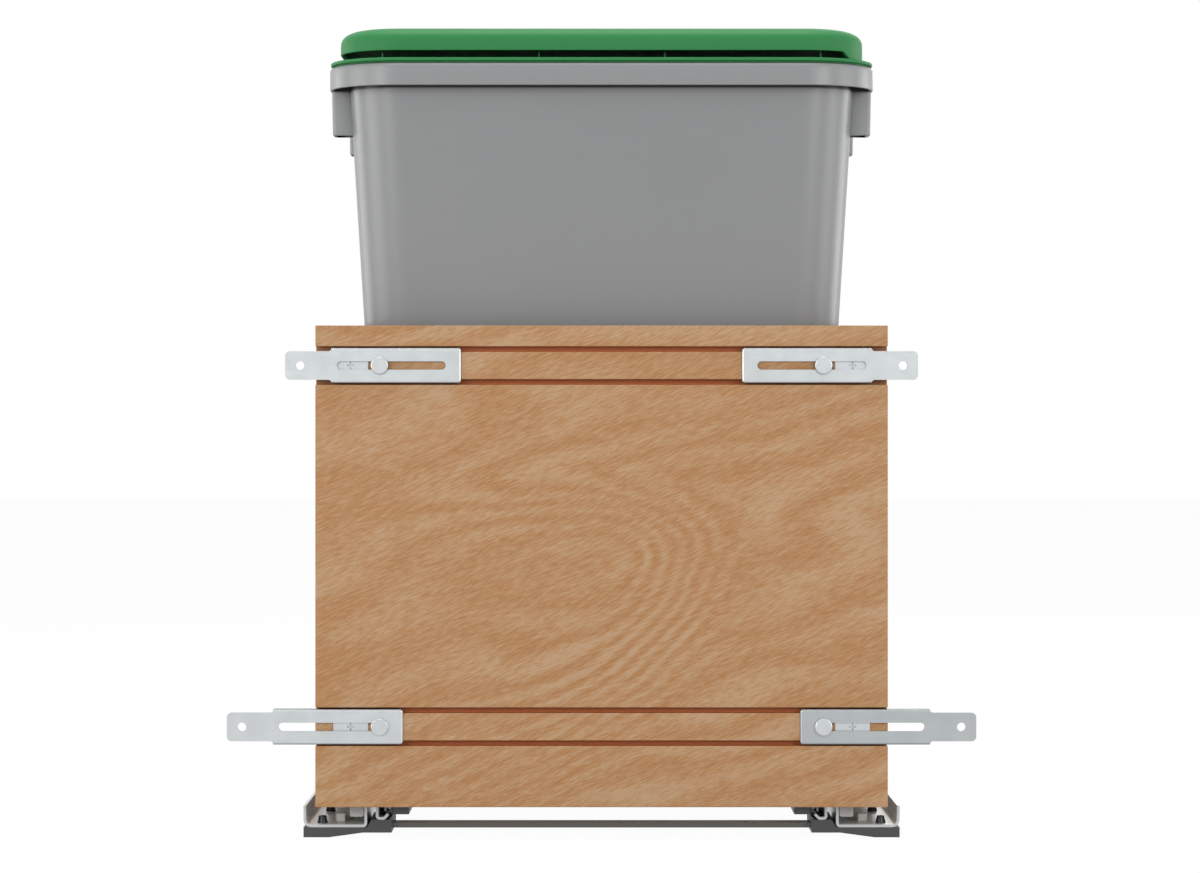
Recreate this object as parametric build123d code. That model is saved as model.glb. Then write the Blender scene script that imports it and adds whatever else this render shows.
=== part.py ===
from build123d import *
import os

os.makedirs("parts", exist_ok=True)

# A pull-out waste unit for a kitchen base cabinet: a dovetailed wooden box on two
# full-extension runners, with two tapered plastic bins and four door brackets.
# Millimetres. +Z is up from the cabinet floor, the door side faces -Y, +X is right.
# The origin is under the middle of the whole unit, on the floor.

# ---- driving dimensions -------------------------------------------------------

# wooden box
BOX_WIDTH = 364.0          # outer width of the box and its front panel
PANEL_HEIGHT = 306.3       # front, side and back boards
BOX_LENGTH = 536.0         # front face of the front panel to the back face of the box
BOARD = 16.0               # front, sides and back
BOTTOM_BOARD = 12.0
BOTTOM_GROOVE = 6.0        # how far the bottom is let into the boards
SKIRT = 12.7               # boards reach this far below the bottom board
DIVIDER_BOARD = 12.0
DIVIDER_HEIGHT = 210.0
DIVIDER_HOUSING = 4.0      # how far the divider is let into the sides
DOVETAIL_COUNT = 6
DOVETAIL_SHARE = 0.5       # part of the pitch that a tail takes where it is narrowest
DOVETAIL_SLOPE = 0.14      # flare of a tail per mm of its length
DOVETAIL_LAP = 4.0         # wood left in front of the tails at the front panel

# saw grooves across the front panel, in two pairs
GROOVE_PAIR_UPPER = 280.8  # middle of the upper pair above the panel's lower edge
GROOVE_PAIR_LOWER = 51.2   # middle of the lower pair above the panel's lower edge
GROOVE_WIDTH = 3.4
GROOVE_DEPTH = 6.5

# runners
SHEET = 1.7                # cabinet rail
THIN_SHEET = 1.5           # middle rail and box rail
RAIL_LENGTH = 533.0
RAIL_SET_BACK = 17.0       # front face of the panel to the front end of the rails
RAIL_OVERHANG = 8.9        # the rails are this much wider than the box, each side
RAIL_BASE = 6.5            # floor to the underside of the rail's floor plate
RAIL_FLANGE = 13.9         # height of the outer flange
RAIL_BEND = 5.0            # outer radius of the outer bend
HUMP_WIDTH = 9.0           # the raised track that carries the rollers
HUMP_OFFSET = 39.0         # outer edge of the rail to the track
HUMP_HEIGHT = 14.3         # floor plate's top face to the top of the track
TIGHT_BEND = 1.6           # middle radius of the other bends
GUTTER_DROP = 9.5          # top of the track down to the gutter's top face
GUTTER_WIDTH = 4.5
LIP_RUN = 2.5
LIP_RISE = 2.6
STAGE_GAP = 4.1            # height between two rails, where the rollers run
MIDDLE_LENGTH = 500.0
MIDDLE_SET_BACK = 20.0     # rail front to middle rail front, closed
MIDDLE_SIDE_GAP = 2.6      # track to the inside of the middle rail
BOX_RAIL_SIDE_GAP = 3.8    # middle rail to the inside of the box rail, outer side
BOX_RAIL_INNER_GAP = 1.8   # the same on the inner side
BOX_RAIL_LENGTH = 502.0
NOSE_LENGTH = 12.0         # soft-close nose in front of each box rail
NOSE_WIDTH = 9.0
HOUSING_LENGTH = 150.0
HOUSING_LIFT = 1.5         # gutter's top face to the underside of the housing
OUTER_LEG_DROP = 0.5       # the outer legs reach this far below the gutter's top face
CAGE_LENGTH = 200.0
CAGE_SET_BACK = 162.0      # rail front to cage front, closed
CAGE_WIDTH = 7.0
ROLLER_COUNT = 8
ROLLER_LENGTH = 4.6
ROLLER_PITCH = 13.0
ROLLER_END = 9.75          # end of a cage to its first roller
ROLL_CLEARANCE = 0.3       # roller to rail, and roller to cage
END_CAP_LENGTH = 6.0

# feet, tie bars and their screws
FOOT_LENGTH = 95.0         # under the floor plate
FOOT_ARM_LENGTH = 50.0     # inner arm that holds the tie bar
FOOT_WIDTH = 56.4
FOOT_FLAT = 16.0           # outer strip that stands on the floor
FOOT_SLOPE_RUN = 22.0
FOOT_LIFT = 3.0            # inner part of the foot above the floor
FOOT_TAB = 1.6             # height of the small tab at the end of the arm
FOOT_TAB_WIDTH = 1.2
TIE_DEPTH = 16.0
TIE_THICKNESS = 3.1
TIE_LIFT = 5.6
TIE_SET_BACK = 6.0
TIE_INSERT = 8.0           # how far the tie bar goes into a foot
TIE_HOLE_R = 1.5
TIE_HOLE_SPACING = 184.0
SCREW_HEAD_R = 3.4
SCREW_HEAD_TOP_R = 2.25
SCREW_HEAD_HEIGHT = 4.8
SCREW_CROSS = 2.6          # size of the cross recess
SCREW_DOME = 0.75          # rounding of the head's upper edge
CROSS_DEPTH_SHARE = 0.33   # depth and arm width of a cross recess, in cross sizes
CROSS_ARM_SHARE = 0.25
SCREW_SHANK_R = 2.0
SCREW_BITE = 3.2           # length of the shank below the floor plate
SCREW_SET_BACKS = (11.0, 81.0)
SCREW_INSET = 11.4         # outer edge of the rail to the row of screws and holes
FLOOR_HOLE_SET_BACK = 68.0
FLOOR_HOLE_R = 2.5
BUMPER_WIDTH = 5.8
BUMPER_INSET = 19.5        # outer edge of the rail to the white bumper
BUMPER_HEIGHT = 4.9
BUMPER_LENGTH = 24.0
BUMPER_HOOK_LENGTH = 6.0
BUMPER_LOW = 2.75          # height of the block behind the hook
BUMPER_SET_BACK = 20.0
STRIKER_SET_BACK = 62.0
STRIKER_HEIGHT = 4.0
STRIKER_COLLAR_R = 2.4
RIVET_R = 1.5

# locking clips under the box, with their release levers
CLIP_WIDTH = 12.0
CLIP_LENGTH = 56.0
CLIP_HEIGHT = 11.0
LEVER_LENGTH = 42.0
LEVER_HEIGHT = 8.0
LEVER_PIN_R = 2.0
LEVER_CORNER_R = 2.0
LEVER_SET_BACK = 3.0
CLIP_SCREW_HEAD = 2.2      # depth of their countersunk heads
CLIP_SCREW_BITE = 8.0      # length of the clip screws in the bottom board
CLIP_SCREW_SET_BACKS = (15.7, 50.4)

# door brackets
BRACKET_LENGTH = 111.8
BRACKET_HEIGHT = 22.5
BRACKET_SHEET = 1.6
INNER_CORNER_R = 1.8       # corners of the bracket's inner end
FOLD_SHARE = 0.8           # outer radius of a folded edge, in sheet thicknesses
TAB_CORNER_R = 3.0
TAB_SHOULDER_R = 2.0       # hollow corner where the tab meets the slotted plate
BRACKET_FLANGE = 5.0       # how far the bent edges reach into the grooves
TAB_LENGTH = 29.4
TAB_HEIGHT = 18.2
TAB_HOLE_R = 2.75
TAB_HOLE_INSET = 9.5
SLOT_START = 32.8          # from the bracket's outer end
SLOT_END = 102.0
SLOT_HEIGHT = 5.3
BRACKET_OVERHANG_UPPER = 19.0  # side of the box to the bracket's outer end
BRACKET_OVERHANG_LOWER = 56.0
CLAMP_INSET = 41.0         # side of the box to the clamping screws
CLAMP_HEAD_R = 5.5
CLAMP_HEAD = 2.2
CLAMP_HEAD_ROUND = 0.55    # rounding of the head's edge
CLAMP_SHANK_R = 2.4
CLAMP_LENGTH = 12.0        # shank behind the panel's face
NUT_R = 5.0
NUT_LENGTH = 11.0
NUT_SINK = 0.6             # panel's face to the nut
CLAMP_HOLE_DEPTH = 13.0
INSERT_INSET = 22.5        # side of the box to the middle of the insert plates
INSERT_LENGTH = 22.2
INSERT_HEIGHT = 9.0
INSERT_DEPTH = 3.0
INSERT_HEAD_R = 3.6
INSERT_HEAD = 2.2          # depth of the countersunk head
INSERT_CROSS = 4.6         # size of the cross recess
INSERT_SHANK_R = 1.5
INSERT_SCREW_LENGTH = 12.0

# bins and lid
BIN_PLAY = 11.0            # the box is this much wider than the rim of a bin
BIN_DEPTH = 264.0
BIN_HEIGHT = 449.8
BIN_WALL = 2.4
BIN_TAPER = 0.059          # each side, per mm of height
BIN_CORNER = 46.0          # corner radius of the rim
BIN_CORNER_TAPER = 0.01    # loss of the body's corner radius per mm downwards
RIM_HEIGHT = 14.5
RIM_OVERHANG = 12.0
RIM_SET_BACK = 7.0         # front face of the panel to the rim of the front bin
BIN_SPACING = 268.0        # front of the front rim to the front of the rear rim
LUG_LENGTH = 20.0          # along the rim
LUG_INSET = 1.0            # rim's edge to the lug's outer face
LUG_DROP = 28.6            # below the rim band
LUG_OFFSET = 79.75         # middle of a bin to the middle of a lug
RING_THICKNESS = 2.2
RING_RIB = 0.7             # low rib that lifts the ring's flange off the rim
RING_RIB_INSET = 3.0
RING_EDGE = 0.5            # the ring is this much smaller than the rim
RING_OPENING_INSET = 34.0
RING_SKIRT_GAP = 1.0
RING_SKIRT_DROP = 12.0
RING_COLLAR_INSET = 19.0
RING_COLLAR_HEIGHT = 1.6
RING_STOP = 1.6            # thickness of the low stops that the cap rests on
RING_STOP_SHARES = (-0.4, -0.114, 0.116, 0.4)   # of the bin's width, from its middle
CAP_INSET = 7.0            # the cap is this much smaller than the rim, each side
CAP_GAP = 5.2              # finger gap between the ring's flange and the cap
CAP_HEIGHT = 15.4
CAP_WALL = 2.2
CAP_CROWN_R = 10.5
CAP_SKIRT_LENGTH = 14.0    # stretch of the hinge end where the skirt reaches down
CAP_SKIRT_GAP = 1.0
HINGE_INSET = 2.4          # cap's outer face to the pin's axis
HINGE_LIFT = 3.9           # top of the ring's flange to the pin's axis
HINGE_PIN_R = 1.1
HINGE_KNUCKLE_R = 2.2
HINGE_KNUCKLE = 7.0
HINGE_EAR = 8.0
HINGE_Y = 58.0

# clearances
RUNNING = 0.05             # pins and shafts that turn
SLIDING = 0.3              # flat faces that pass each other
SIDE_PLAY = 0.4            # ends of knuckles and levers
SEAT = 0.15                # door bracket to the panel and to the screw heads

# ---- places worked out from them ----------------------------------------------

HEAD_STAND = SEAT + BRACKET_SHEET + SEAT + CLAMP_HEAD
DEPTH = HEAD_STAND + RAIL_SET_BACK + RAIL_LENGTH
PANEL_Y = HEAD_STAND - DEPTH / 2
RAIL_Y0 = PANEL_Y + RAIL_SET_BACK
RAIL_Y1 = RAIL_Y0 + RAIL_LENGTH
BOX_BACK_Y = PANEL_Y + BOX_LENGTH
HALF_BOX = BOX_WIDTH / 2
INNER_BOX = HALF_BOX - BOARD

RAIL_X = HALF_BOX + RAIL_OVERHANG
PLATE_TOP = RAIL_BASE + SHEET
HUMP_X1 = RAIL_X - HUMP_OFFSET
HUMP_X0 = HUMP_X1 - HUMP_WIDTH
HUMP_X = (HUMP_X0 + HUMP_X1) / 2
HUMP_TOP = PLATE_TOP + HUMP_HEIGHT
GUTTER_TOP = HUMP_TOP - GUTTER_DROP
MIDDLE_UNDER = HUMP_TOP + STAGE_GAP
MIDDLE_TOP = MIDDLE_UNDER + THIN_SHEET
MIDDLE_X1 = HUMP_X1 + MIDDLE_SIDE_GAP + THIN_SHEET
MIDDLE_X0 = HUMP_X0 - MIDDLE_SIDE_GAP - THIN_SHEET
BOX_RAIL_UNDER = MIDDLE_TOP + STAGE_GAP
BOX_RAIL_TOP = BOX_RAIL_UNDER + THIN_SHEET
BOX_RAIL_X1 = MIDDLE_X1 + BOX_RAIL_SIDE_GAP + THIN_SHEET
BOX_RAIL_X0 = MIDDLE_X0 - BOX_RAIL_INNER_GAP - THIN_SHEET
HOUSING_X = (MIDDLE_X1 + BOX_RAIL_X1 - THIN_SHEET) / 2
SCREW_X = RAIL_X - SCREW_INSET
BUMPER_X = RAIL_X - BUMPER_INSET - BUMPER_WIDTH / 2
BUMPER_Y = RAIL_Y0 + BUMPER_SET_BACK + BUMPER_LENGTH / 2
STRIKER_Y = RAIL_Y0 + STRIKER_SET_BACK

BOTTOM_Z = BOX_RAIL_TOP
BOARD_Z0 = BOTTOM_Z - SKIRT
BOARD_Z1 = BOARD_Z0 + PANEL_HEIGHT
BOX_FLOOR = BOTTOM_Z + BOTTOM_BOARD
ROW_UPPER = BOARD_Z0 + GROOVE_PAIR_UPPER
ROW_LOWER = BOARD_Z0 + GROOVE_PAIR_LOWER
GROOVE_OFFSET = BRACKET_HEIGHT / 2 - BRACKET_SHEET / 2   # middle of a groove from the row
PLATE_BACK_Y = PANEL_Y - SEAT
PLATE_FRONT_Y = PLATE_BACK_Y - BRACKET_SHEET

CLAMP_X = HALF_BOX - CLAMP_INSET
INSERT_X = HALF_BOX - INSERT_INSET

BIN_WIDTH = BOX_WIDTH - BIN_PLAY
BIN_BODY_WIDTH = BIN_WIDTH - 2 * RIM_OVERHANG
BIN_BODY_DEPTH = BIN_DEPTH - 2 * RIM_OVERHANG
BIN_BODY_CORNER = BIN_CORNER - RIM_OVERHANG
BIN_TOP = BOX_FLOOR + BIN_HEIGHT
FRONT_BIN_Y = PANEL_Y + RIM_SET_BACK + BIN_DEPTH / 2
REAR_BIN_Y = FRONT_BIN_Y + BIN_SPACING
DIVIDER_Y = (FRONT_BIN_Y + REAR_BIN_Y) / 2
RING_Z0 = BIN_TOP + SLIDING + RING_RIB
RING_Z1 = RING_Z0 + RING_THICKNESS
CAP_Z0 = RING_Z1 + CAP_GAP
CAP_X = BIN_WIDTH / 2 - CAP_INSET
HINGE_X = CAP_X - HINGE_INSET
HINGE_Z = RING_Z1 + HINGE_LIFT


# ---- small building helpers ---------------------------------------------------

def block(x0, x1, y0, y1, z0, z1):
    """A box between two opposite corners."""
    middle = Pos((x0 + x1) / 2, (y0 + y1) / 2, (z0 + z1) / 2)
    return middle * Box(abs(x1 - x0), abs(y1 - y0), abs(z1 - z0))


def along_y(outline, y0, y1):
    """An outline drawn in X and Z, pulled out from y0 to y1."""
    return extrude(Plane.XZ.offset(-y1) * outline, amount=y1 - y0)


def along_z(outline, z0, z1):
    """An outline drawn in X and Y, pulled up from z0 to z1."""
    return extrude(Plane.XY.offset(z0) * outline, amount=z1 - z0)


def rod(x, y, z, radius, length, direction):
    """A round bar that starts at a point and runs along a direction."""
    start = Plane(origin=(x, y, z), z_dir=direction)
    return start * Cylinder(radius, length, align=(Align.CENTER, Align.CENTER, Align.MIN))


def bent_sheet(points, thickness, bends):
    """Cross-section of a folded sheet whose middle line runs through the points."""
    return trace(FilletPolyline(*points, radius=bends), line_width=thickness)


def on_left(shape):
    """The left-hand copy of a right-hand piece."""
    return mirror(shape, about=Plane.YZ)


def at_rear(shape):
    """The rear copy of a piece at the front of the runners."""
    return mirror(shape, about=Plane.XZ.offset(-(RAIL_Y0 + RAIL_Y1) / 2))


def save(node, *solids):
    """Write one node, as one solid or as a group of separate solids."""
    shape = solids[0] if len(solids) == 1 else Compound(children=list(solids))
    export_step(shape, f"parts/{node}.step")


def save_pair(name, shape):
    """Write the left-hand and the right-hand piece of a pair."""
    save(f"right_{name}", shape)
    save(f"left_{name}", on_left(shape))


# ---- runners ------------------------------------------------------------------

def cabinet_rail():
    """Folded rail on the cabinet floor: flange, floor plate, raised track, gutter and lip."""
    half = SHEET / 2
    flange_x = RAIL_X - half
    floor_z = RAIL_BASE + half
    gutter_z = GUTTER_TOP - half
    gutter_x = HUMP_X0 + half - GUTTER_WIDTH
    path = [
        (flange_x, RAIL_BASE + RAIL_FLANGE),
        (flange_x, floor_z),
        (HUMP_X1 - half, floor_z),
        (HUMP_X1 - half, HUMP_TOP - half),
        (HUMP_X0 + half, HUMP_TOP - half),
        (HUMP_X0 + half, gutter_z),
        (gutter_x, gutter_z),
        (gutter_x - LIP_RUN, gutter_z + LIP_RISE),
    ]
    bends = [RAIL_BEND - half] + [TIGHT_BEND] * 5
    rail = along_y(bent_sheet(path, SHEET, bends), RAIL_Y0, RAIL_Y1)
    for y in floor_hole_places():
        rail -= rod(SCREW_X, y, RAIL_BASE - SHEET, FLOOR_HOLE_R, 3 * SHEET, (0, 0, 1))
    for y in foot_screw_places():
        rail -= rod(SCREW_X, y, RAIL_BASE - SHEET, SCREW_SHANK_R + RUNNING, 3 * SHEET, (0, 0, 1))
    for x, y in ((BUMPER_X, BUMPER_Y), (HOUSING_X, STRIKER_Y)):
        rail -= rod(x, y, RAIL_BASE - SHEET, RIVET_R, 3 * SHEET, (0, 0, 1))
    return rail


def floor_hole_places():
    """Where the holes for the cabinet-floor screws lie along a rail."""
    return (RAIL_Y0 + FLOOR_HOLE_SET_BACK, RAIL_Y1 - FLOOR_HOLE_SET_BACK)


def foot_screw_places():
    """Where the screws that hold the feet lie along a rail."""
    front = [RAIL_Y0 + set_back for set_back in SCREW_SET_BACKS]
    rear = [RAIL_Y1 - set_back for set_back in SCREW_SET_BACKS]
    return front + rear


def rail_bumper():
    """White plastic stop, a block with a raised hook, with its rivet through the rail."""
    x0 = BUMPER_X - BUMPER_WIDTH / 2
    x1 = BUMPER_X + BUMPER_WIDTH / 2
    y0 = BUMPER_Y - BUMPER_LENGTH / 2
    y1 = y0 + BUMPER_LENGTH
    low = block(x0, x1, y0, y1, PLATE_TOP, PLATE_TOP + BUMPER_LOW)
    hook = block(x0, x1, y0, y0 + BUMPER_HOOK_LENGTH, PLATE_TOP, PLATE_TOP + BUMPER_HEIGHT)
    rivet = rod(BUMPER_X, BUMPER_Y, RAIL_BASE, RIVET_R, SHEET, (0, 0, 1))
    return low + hook + rivet


def soft_close_striker():
    """Short steel post that the soft-close housing catches, riveted to the floor plate."""
    post = rod(HOUSING_X, STRIKER_Y, RAIL_BASE, RIVET_R, SHEET + STRIKER_HEIGHT, (0, 0, 1))
    collar = rod(HOUSING_X, STRIKER_Y, PLATE_TOP, STRIKER_COLLAR_R, STRIKER_HEIGHT / 2, (0, 0, 1))
    return post + collar


def foot():
    """Plastic foot under the front of a rail: a wedge under the floor plate and an inner arm."""
    inner = HUMP_X1 - SHEET
    flat_x = RAIL_X - FOOT_FLAT
    slope_x = flat_x - FOOT_SLOPE_RUN
    arm_x = RAIL_X - FOOT_WIDTH
    arm_top = GUTTER_TOP - SHEET
    wedge = Polyline(
        (RAIL_X, 0), (RAIL_X, RAIL_BASE), (inner, RAIL_BASE),
        (inner, FOOT_LIFT), (slope_x, FOOT_LIFT), (flat_x, 0), close=True,
    )
    arm = Polyline(
        (inner, RAIL_BASE), (HUMP_X, arm_top), (arm_x + FOOT_TAB_WIDTH, arm_top),
        (arm_x + FOOT_TAB_WIDTH, arm_top + FOOT_TAB), (arm_x, arm_top + FOOT_TAB),
        (arm_x, FOOT_LIFT), (inner, FOOT_LIFT), close=True,
    )
    solid = along_y(make_face(wedge), RAIL_Y0, RAIL_Y0 + FOOT_LENGTH)
    solid += along_y(make_face(arm), RAIL_Y0, RAIL_Y0 + FOOT_ARM_LENGTH)
    solid -= tie_bar_blank()
    for set_back in SCREW_SET_BACKS:
        y = RAIL_Y0 + set_back
        solid -= rod(SCREW_X, y, RAIL_BASE - SCREW_BITE, SCREW_SHANK_R, SCREW_BITE, (0, 0, 1))
    y = RAIL_Y0 + FLOOR_HOLE_SET_BACK
    return solid - rod(SCREW_X, y, 0, FLOOR_HOLE_R, RAIL_BASE, (0, 0, 1))


def tie_bar_blank():
    """The flat bar between the two front feet, before its holes."""
    reach = RAIL_X - FOOT_WIDTH + TIE_INSERT
    y0 = RAIL_Y0 + TIE_SET_BACK
    return block(-reach, reach, y0, y0 + TIE_DEPTH, TIE_LIFT, TIE_LIFT + TIE_THICKNESS)


def tie_bar():
    """Dark flat bar that keeps the two rails parallel."""
    bar = tie_bar_blank()
    y = RAIL_Y0 + TIE_SET_BACK + TIE_DEPTH / 2
    for x in (-TIE_HOLE_SPACING / 2, TIE_HOLE_SPACING / 2):
        bar -= rod(x, y, TIE_LIFT, TIE_HOLE_R, TIE_THICKNESS, (0, 0, 1))
    return bar


def foot_screw(x, y):
    """Black dome-head screw that holds a foot to a rail."""
    head = Pos(x, y, PLATE_TOP + SCREW_HEAD_HEIGHT / 2) * Cone(
        SCREW_HEAD_R, SCREW_HEAD_TOP_R, SCREW_HEAD_HEIGHT)
    head = fillet(head.edges().group_by(Axis.Z)[-1], SCREW_DOME)
    top = PLATE_TOP + SCREW_HEAD_HEIGHT
    head -= cross_recess(Plane(origin=(x, y, top), z_dir=(0, 0, 1)), SCREW_CROSS)
    shank = rod(x, y, RAIL_BASE - SCREW_BITE, SCREW_SHANK_R, SCREW_BITE + SHEET, (0, 0, 1))
    return head + shank


def cross_recess(face, size):
    """The cross-shaped recess of a screw head that lies on a plane."""
    arm = size * CROSS_ARM_SHARE
    across = Box(size, arm, 2 * size * CROSS_DEPTH_SHARE)
    along = Box(arm, size, 2 * size * CROSS_DEPTH_SHARE)
    return face * (across + along)


def middle_rail():
    """Middle rail: an upturned channel that runs over the cabinet rail's track."""
    half = THIN_SHEET / 2
    top = MIDDLE_TOP - half
    path = [
        (MIDDLE_X1 - half, GUTTER_TOP - OUTER_LEG_DROP),
        (MIDDLE_X1 - half, top),
        (MIDDLE_X0 + half, top),
        (MIDDLE_X0 + half, GUTTER_TOP + THIN_SHEET),
    ]
    y0 = RAIL_Y0 + MIDDLE_SET_BACK
    return along_y(bent_sheet(path, THIN_SHEET, TIGHT_BEND), y0, y0 + MIDDLE_LENGTH)


def middle_end_cap():
    """Plastic stop that closes the rear end of a middle rail."""
    y0 = RAIL_Y0 + MIDDLE_SET_BACK + MIDDLE_LENGTH
    x0 = HUMP_X0 - MIDDLE_SIDE_GAP
    x1 = HUMP_X1 + MIDDLE_SIDE_GAP
    plate = block(x0, x1, y0, y0 + END_CAP_LENGTH / 2, HUMP_TOP + SLIDING, MIDDLE_TOP)
    plug = block(
        x0 + SLIDING, x1 - SLIDING, y0 - END_CAP_LENGTH, y0, HUMP_TOP + SLIDING,
        MIDDLE_UNDER - SLIDING)
    return plate + plug


def box_rail():
    """Rail under the box: a wider upturned channel that runs over the middle rail."""
    half = THIN_SHEET / 2
    top = BOX_RAIL_TOP - half
    path = [
        (BOX_RAIL_X1 - half, GUTTER_TOP - OUTER_LEG_DROP + THIN_SHEET),
        (BOX_RAIL_X1 - half, top),
        (BOX_RAIL_X0 + half, top),
        (BOX_RAIL_X0 + half, GUTTER_TOP + LIP_RISE + THIN_SHEET),
    ]
    y0 = RAIL_Y0 + NOSE_LENGTH
    return along_y(bent_sheet(path, THIN_SHEET, TIGHT_BEND), y0, y0 + BOX_RAIL_LENGTH)


def soft_close_housing():
    """Grey plastic soft-close unit: a nose in front of the box rail and a slim damper case."""
    nose_z = GUTTER_TOP + SLIDING / 2
    nose_x1 = BOX_RAIL_X1
    nose = block(nose_x1 - NOSE_WIDTH, nose_x1, RAIL_Y0, RAIL_Y0 + NOSE_LENGTH, nose_z, BOX_RAIL_TOP)
    nose = fillet(nose.edges().filter_by(Axis.Y).group_by(Axis.Z)[0], TIGHT_BEND)
    x0 = MIDDLE_X1 + SLIDING
    x1 = BOX_RAIL_X1 - THIN_SHEET
    y0 = RAIL_Y0 + NOSE_LENGTH / 2
    case = block(x0, x1, y0, y0 + HOUSING_LENGTH, GUTTER_TOP + HOUSING_LIFT, MIDDLE_TOP)
    return nose + case


def cage_outline(x0, x1, y0, under):
    """A roller cage between two rails, before its pockets."""
    z0 = under + ROLL_CLEARANCE
    z1 = under + STAGE_GAP - ROLL_CLEARANCE
    return block(x0, x1, y0, y0 + CAGE_LENGTH, z0, z1)


def roller_places():
    """Where the rollers lie along a cage: half of them at each end."""
    half = ROLLER_COUNT // 2
    front = [ROLLER_END + ROLLER_PITCH * i for i in range(half)]
    return front + [CAGE_LENGTH - y for y in reversed(front)]


def roller_cage(under):
    """Plastic strip with a pocket for each roller, in the gap above one rail."""
    y0 = RAIL_Y0 + CAGE_SET_BACK
    cage = cage_outline(HUMP_X - CAGE_WIDTH / 2, HUMP_X + CAGE_WIDTH / 2, y0, under)
    reach = roller_radius() + ROLL_CLEARANCE
    side = ROLLER_LENGTH / 2 + ROLL_CLEARANCE
    for place in roller_places():
        y = y0 + place
        cage -= block(HUMP_X - side, HUMP_X + side, y - reach, y + reach, under, under + STAGE_GAP)
    return cage


def roller_radius():
    return STAGE_GAP / 2 - ROLL_CLEARANCE


def cage_rollers(under):
    """The rollers of one cage, as separate solids."""
    x = HUMP_X - ROLLER_LENGTH / 2
    z = under + STAGE_GAP / 2
    y0 = RAIL_Y0 + CAGE_SET_BACK
    return [rod(x, y0 + y, z, roller_radius(), ROLLER_LENGTH, (1, 0, 0)) for y in roller_places()]


# ---- wooden box ---------------------------------------------------------------

def tails(root_y, end_y, low_z):
    """Dovetail tails of a right side panel, from root_y to end_y and from low_z up."""
    pitch = (BOARD_Z1 - low_z) / DOVETAIL_COUNT
    length = abs(end_y - root_y)
    narrow = pitch * DOVETAIL_SHARE / 2
    wide = narrow + DOVETAIL_SLOPE * length
    shape = Part()
    for i in range(DOVETAIL_COUNT):
        z = low_z + pitch * (i + 0.5)
        outline = Polyline(
            (root_y, z - narrow), (end_y, z - wide), (end_y, z + wide), (root_y, z + narrow),
            close=True,
        )
        shape += extrude(Plane.YZ.offset(INNER_BOX) * make_face(outline), amount=BOARD)
    return shape


def front_tails():
    return tails(PANEL_Y + BOARD, PANEL_Y + DOVETAIL_LAP, BOARD_Z0)


def rear_tails():
    return tails(BOX_BACK_Y - BOARD, BOX_BACK_Y, BOX_FLOOR)


def groove_saw_cuts():
    """The four saw grooves, as what the saw takes away across the whole front."""
    cuts = Part()
    for row in (ROW_LOWER, ROW_UPPER):
        for middle in (row - GROOVE_OFFSET, row + GROOVE_OFFSET):
            z0 = middle - GROOVE_WIDTH / 2
            cuts += block(-HALF_BOX, HALF_BOX, PANEL_Y, PANEL_Y + GROOVE_DEPTH, z0, z0 + GROOVE_WIDTH)
    return cuts


def bottom_panel():
    """Bottom board, let into grooves in the front and sides, with the back standing on it."""
    reach = INNER_BOX + BOTTOM_GROOVE
    y0 = PANEL_Y + BOARD - BOTTOM_GROOVE
    return block(-reach, reach, y0, BOX_BACK_Y, BOTTOM_Z, BOX_FLOOR)


def bin_divider():
    """Cross board between the two bins, let into the side panels."""
    reach = INNER_BOX + DIVIDER_HOUSING
    y0 = DIVIDER_Y - DIVIDER_BOARD / 2
    return block(-reach, reach, y0, y0 + DIVIDER_BOARD, BOX_FLOOR, BOX_FLOOR + DIVIDER_HEIGHT)


def side_panel():
    """Right side board with its dovetail tails at both ends."""
    board = block(INNER_BOX, HALF_BOX, PANEL_Y + BOARD, BOX_BACK_Y - BOARD, BOARD_Z0, BOARD_Z1)
    board += block(INNER_BOX, HALF_BOX, BOX_BACK_Y - BOARD, BOX_BACK_Y, BOARD_Z0, BOX_FLOOR)
    board += front_tails() + rear_tails()
    return board - groove_saw_cuts() - bottom_panel() - bin_divider()


def front_panel():
    """Front board: half-blind dovetails behind, saw grooves and hardware seats in front."""
    board = block(-HALF_BOX, HALF_BOX, PANEL_Y, PANEL_Y + BOARD, BOARD_Z0, BOARD_Z1)
    board -= front_tails()
    board -= on_left(front_tails())
    board -= groove_saw_cuts()
    board -= bottom_panel()
    for row in (ROW_LOWER, ROW_UPPER):
        for side in (-1, 1):
            board -= rod(side * CLAMP_X, PANEL_Y, row, NUT_R + RUNNING, CLAMP_HOLE_DEPTH, (0, 1, 0))
            board -= insert_blank(side * INSERT_X, row)
            board -= rod(
                side * INSERT_X, PANEL_Y, row, INSERT_SHANK_R, INSERT_SCREW_LENGTH, (0, 1, 0))
    return board


def back_panel():
    """Back board between the side panels' rear tails, on top of the bottom board."""
    board = block(-HALF_BOX, HALF_BOX, BOX_BACK_Y - BOARD, BOX_BACK_Y, BOX_FLOOR, BOARD_Z1)
    return board - rear_tails() - on_left(rear_tails())


# ---- door brackets and what holds them ----------------------------------------

def insert_blank(x, row):
    """Steel plate let flush into the front panel behind a bracket's slot."""
    half = INSERT_LENGTH / 2
    tall = INSERT_HEIGHT / 2
    return block(x - half, x + half, PANEL_Y, PANEL_Y + INSERT_DEPTH, row - tall, row + tall)


def insert_screw(x, row):
    """Countersunk cross-head screw in the middle of an insert plate."""
    head = Plane(origin=(x, PANEL_Y, row), z_dir=(0, 1, 0)) * Cone(
        INSERT_HEAD_R, INSERT_SHANK_R, INSERT_HEAD, align=(Align.CENTER, Align.CENTER, Align.MIN))
    shank = rod(x, PANEL_Y, row, INSERT_SHANK_R, INSERT_SCREW_LENGTH, (0, 1, 0))
    return head + shank


def insert_plate(x, row):
    return insert_blank(x, row) - insert_screw(x, row)


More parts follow.
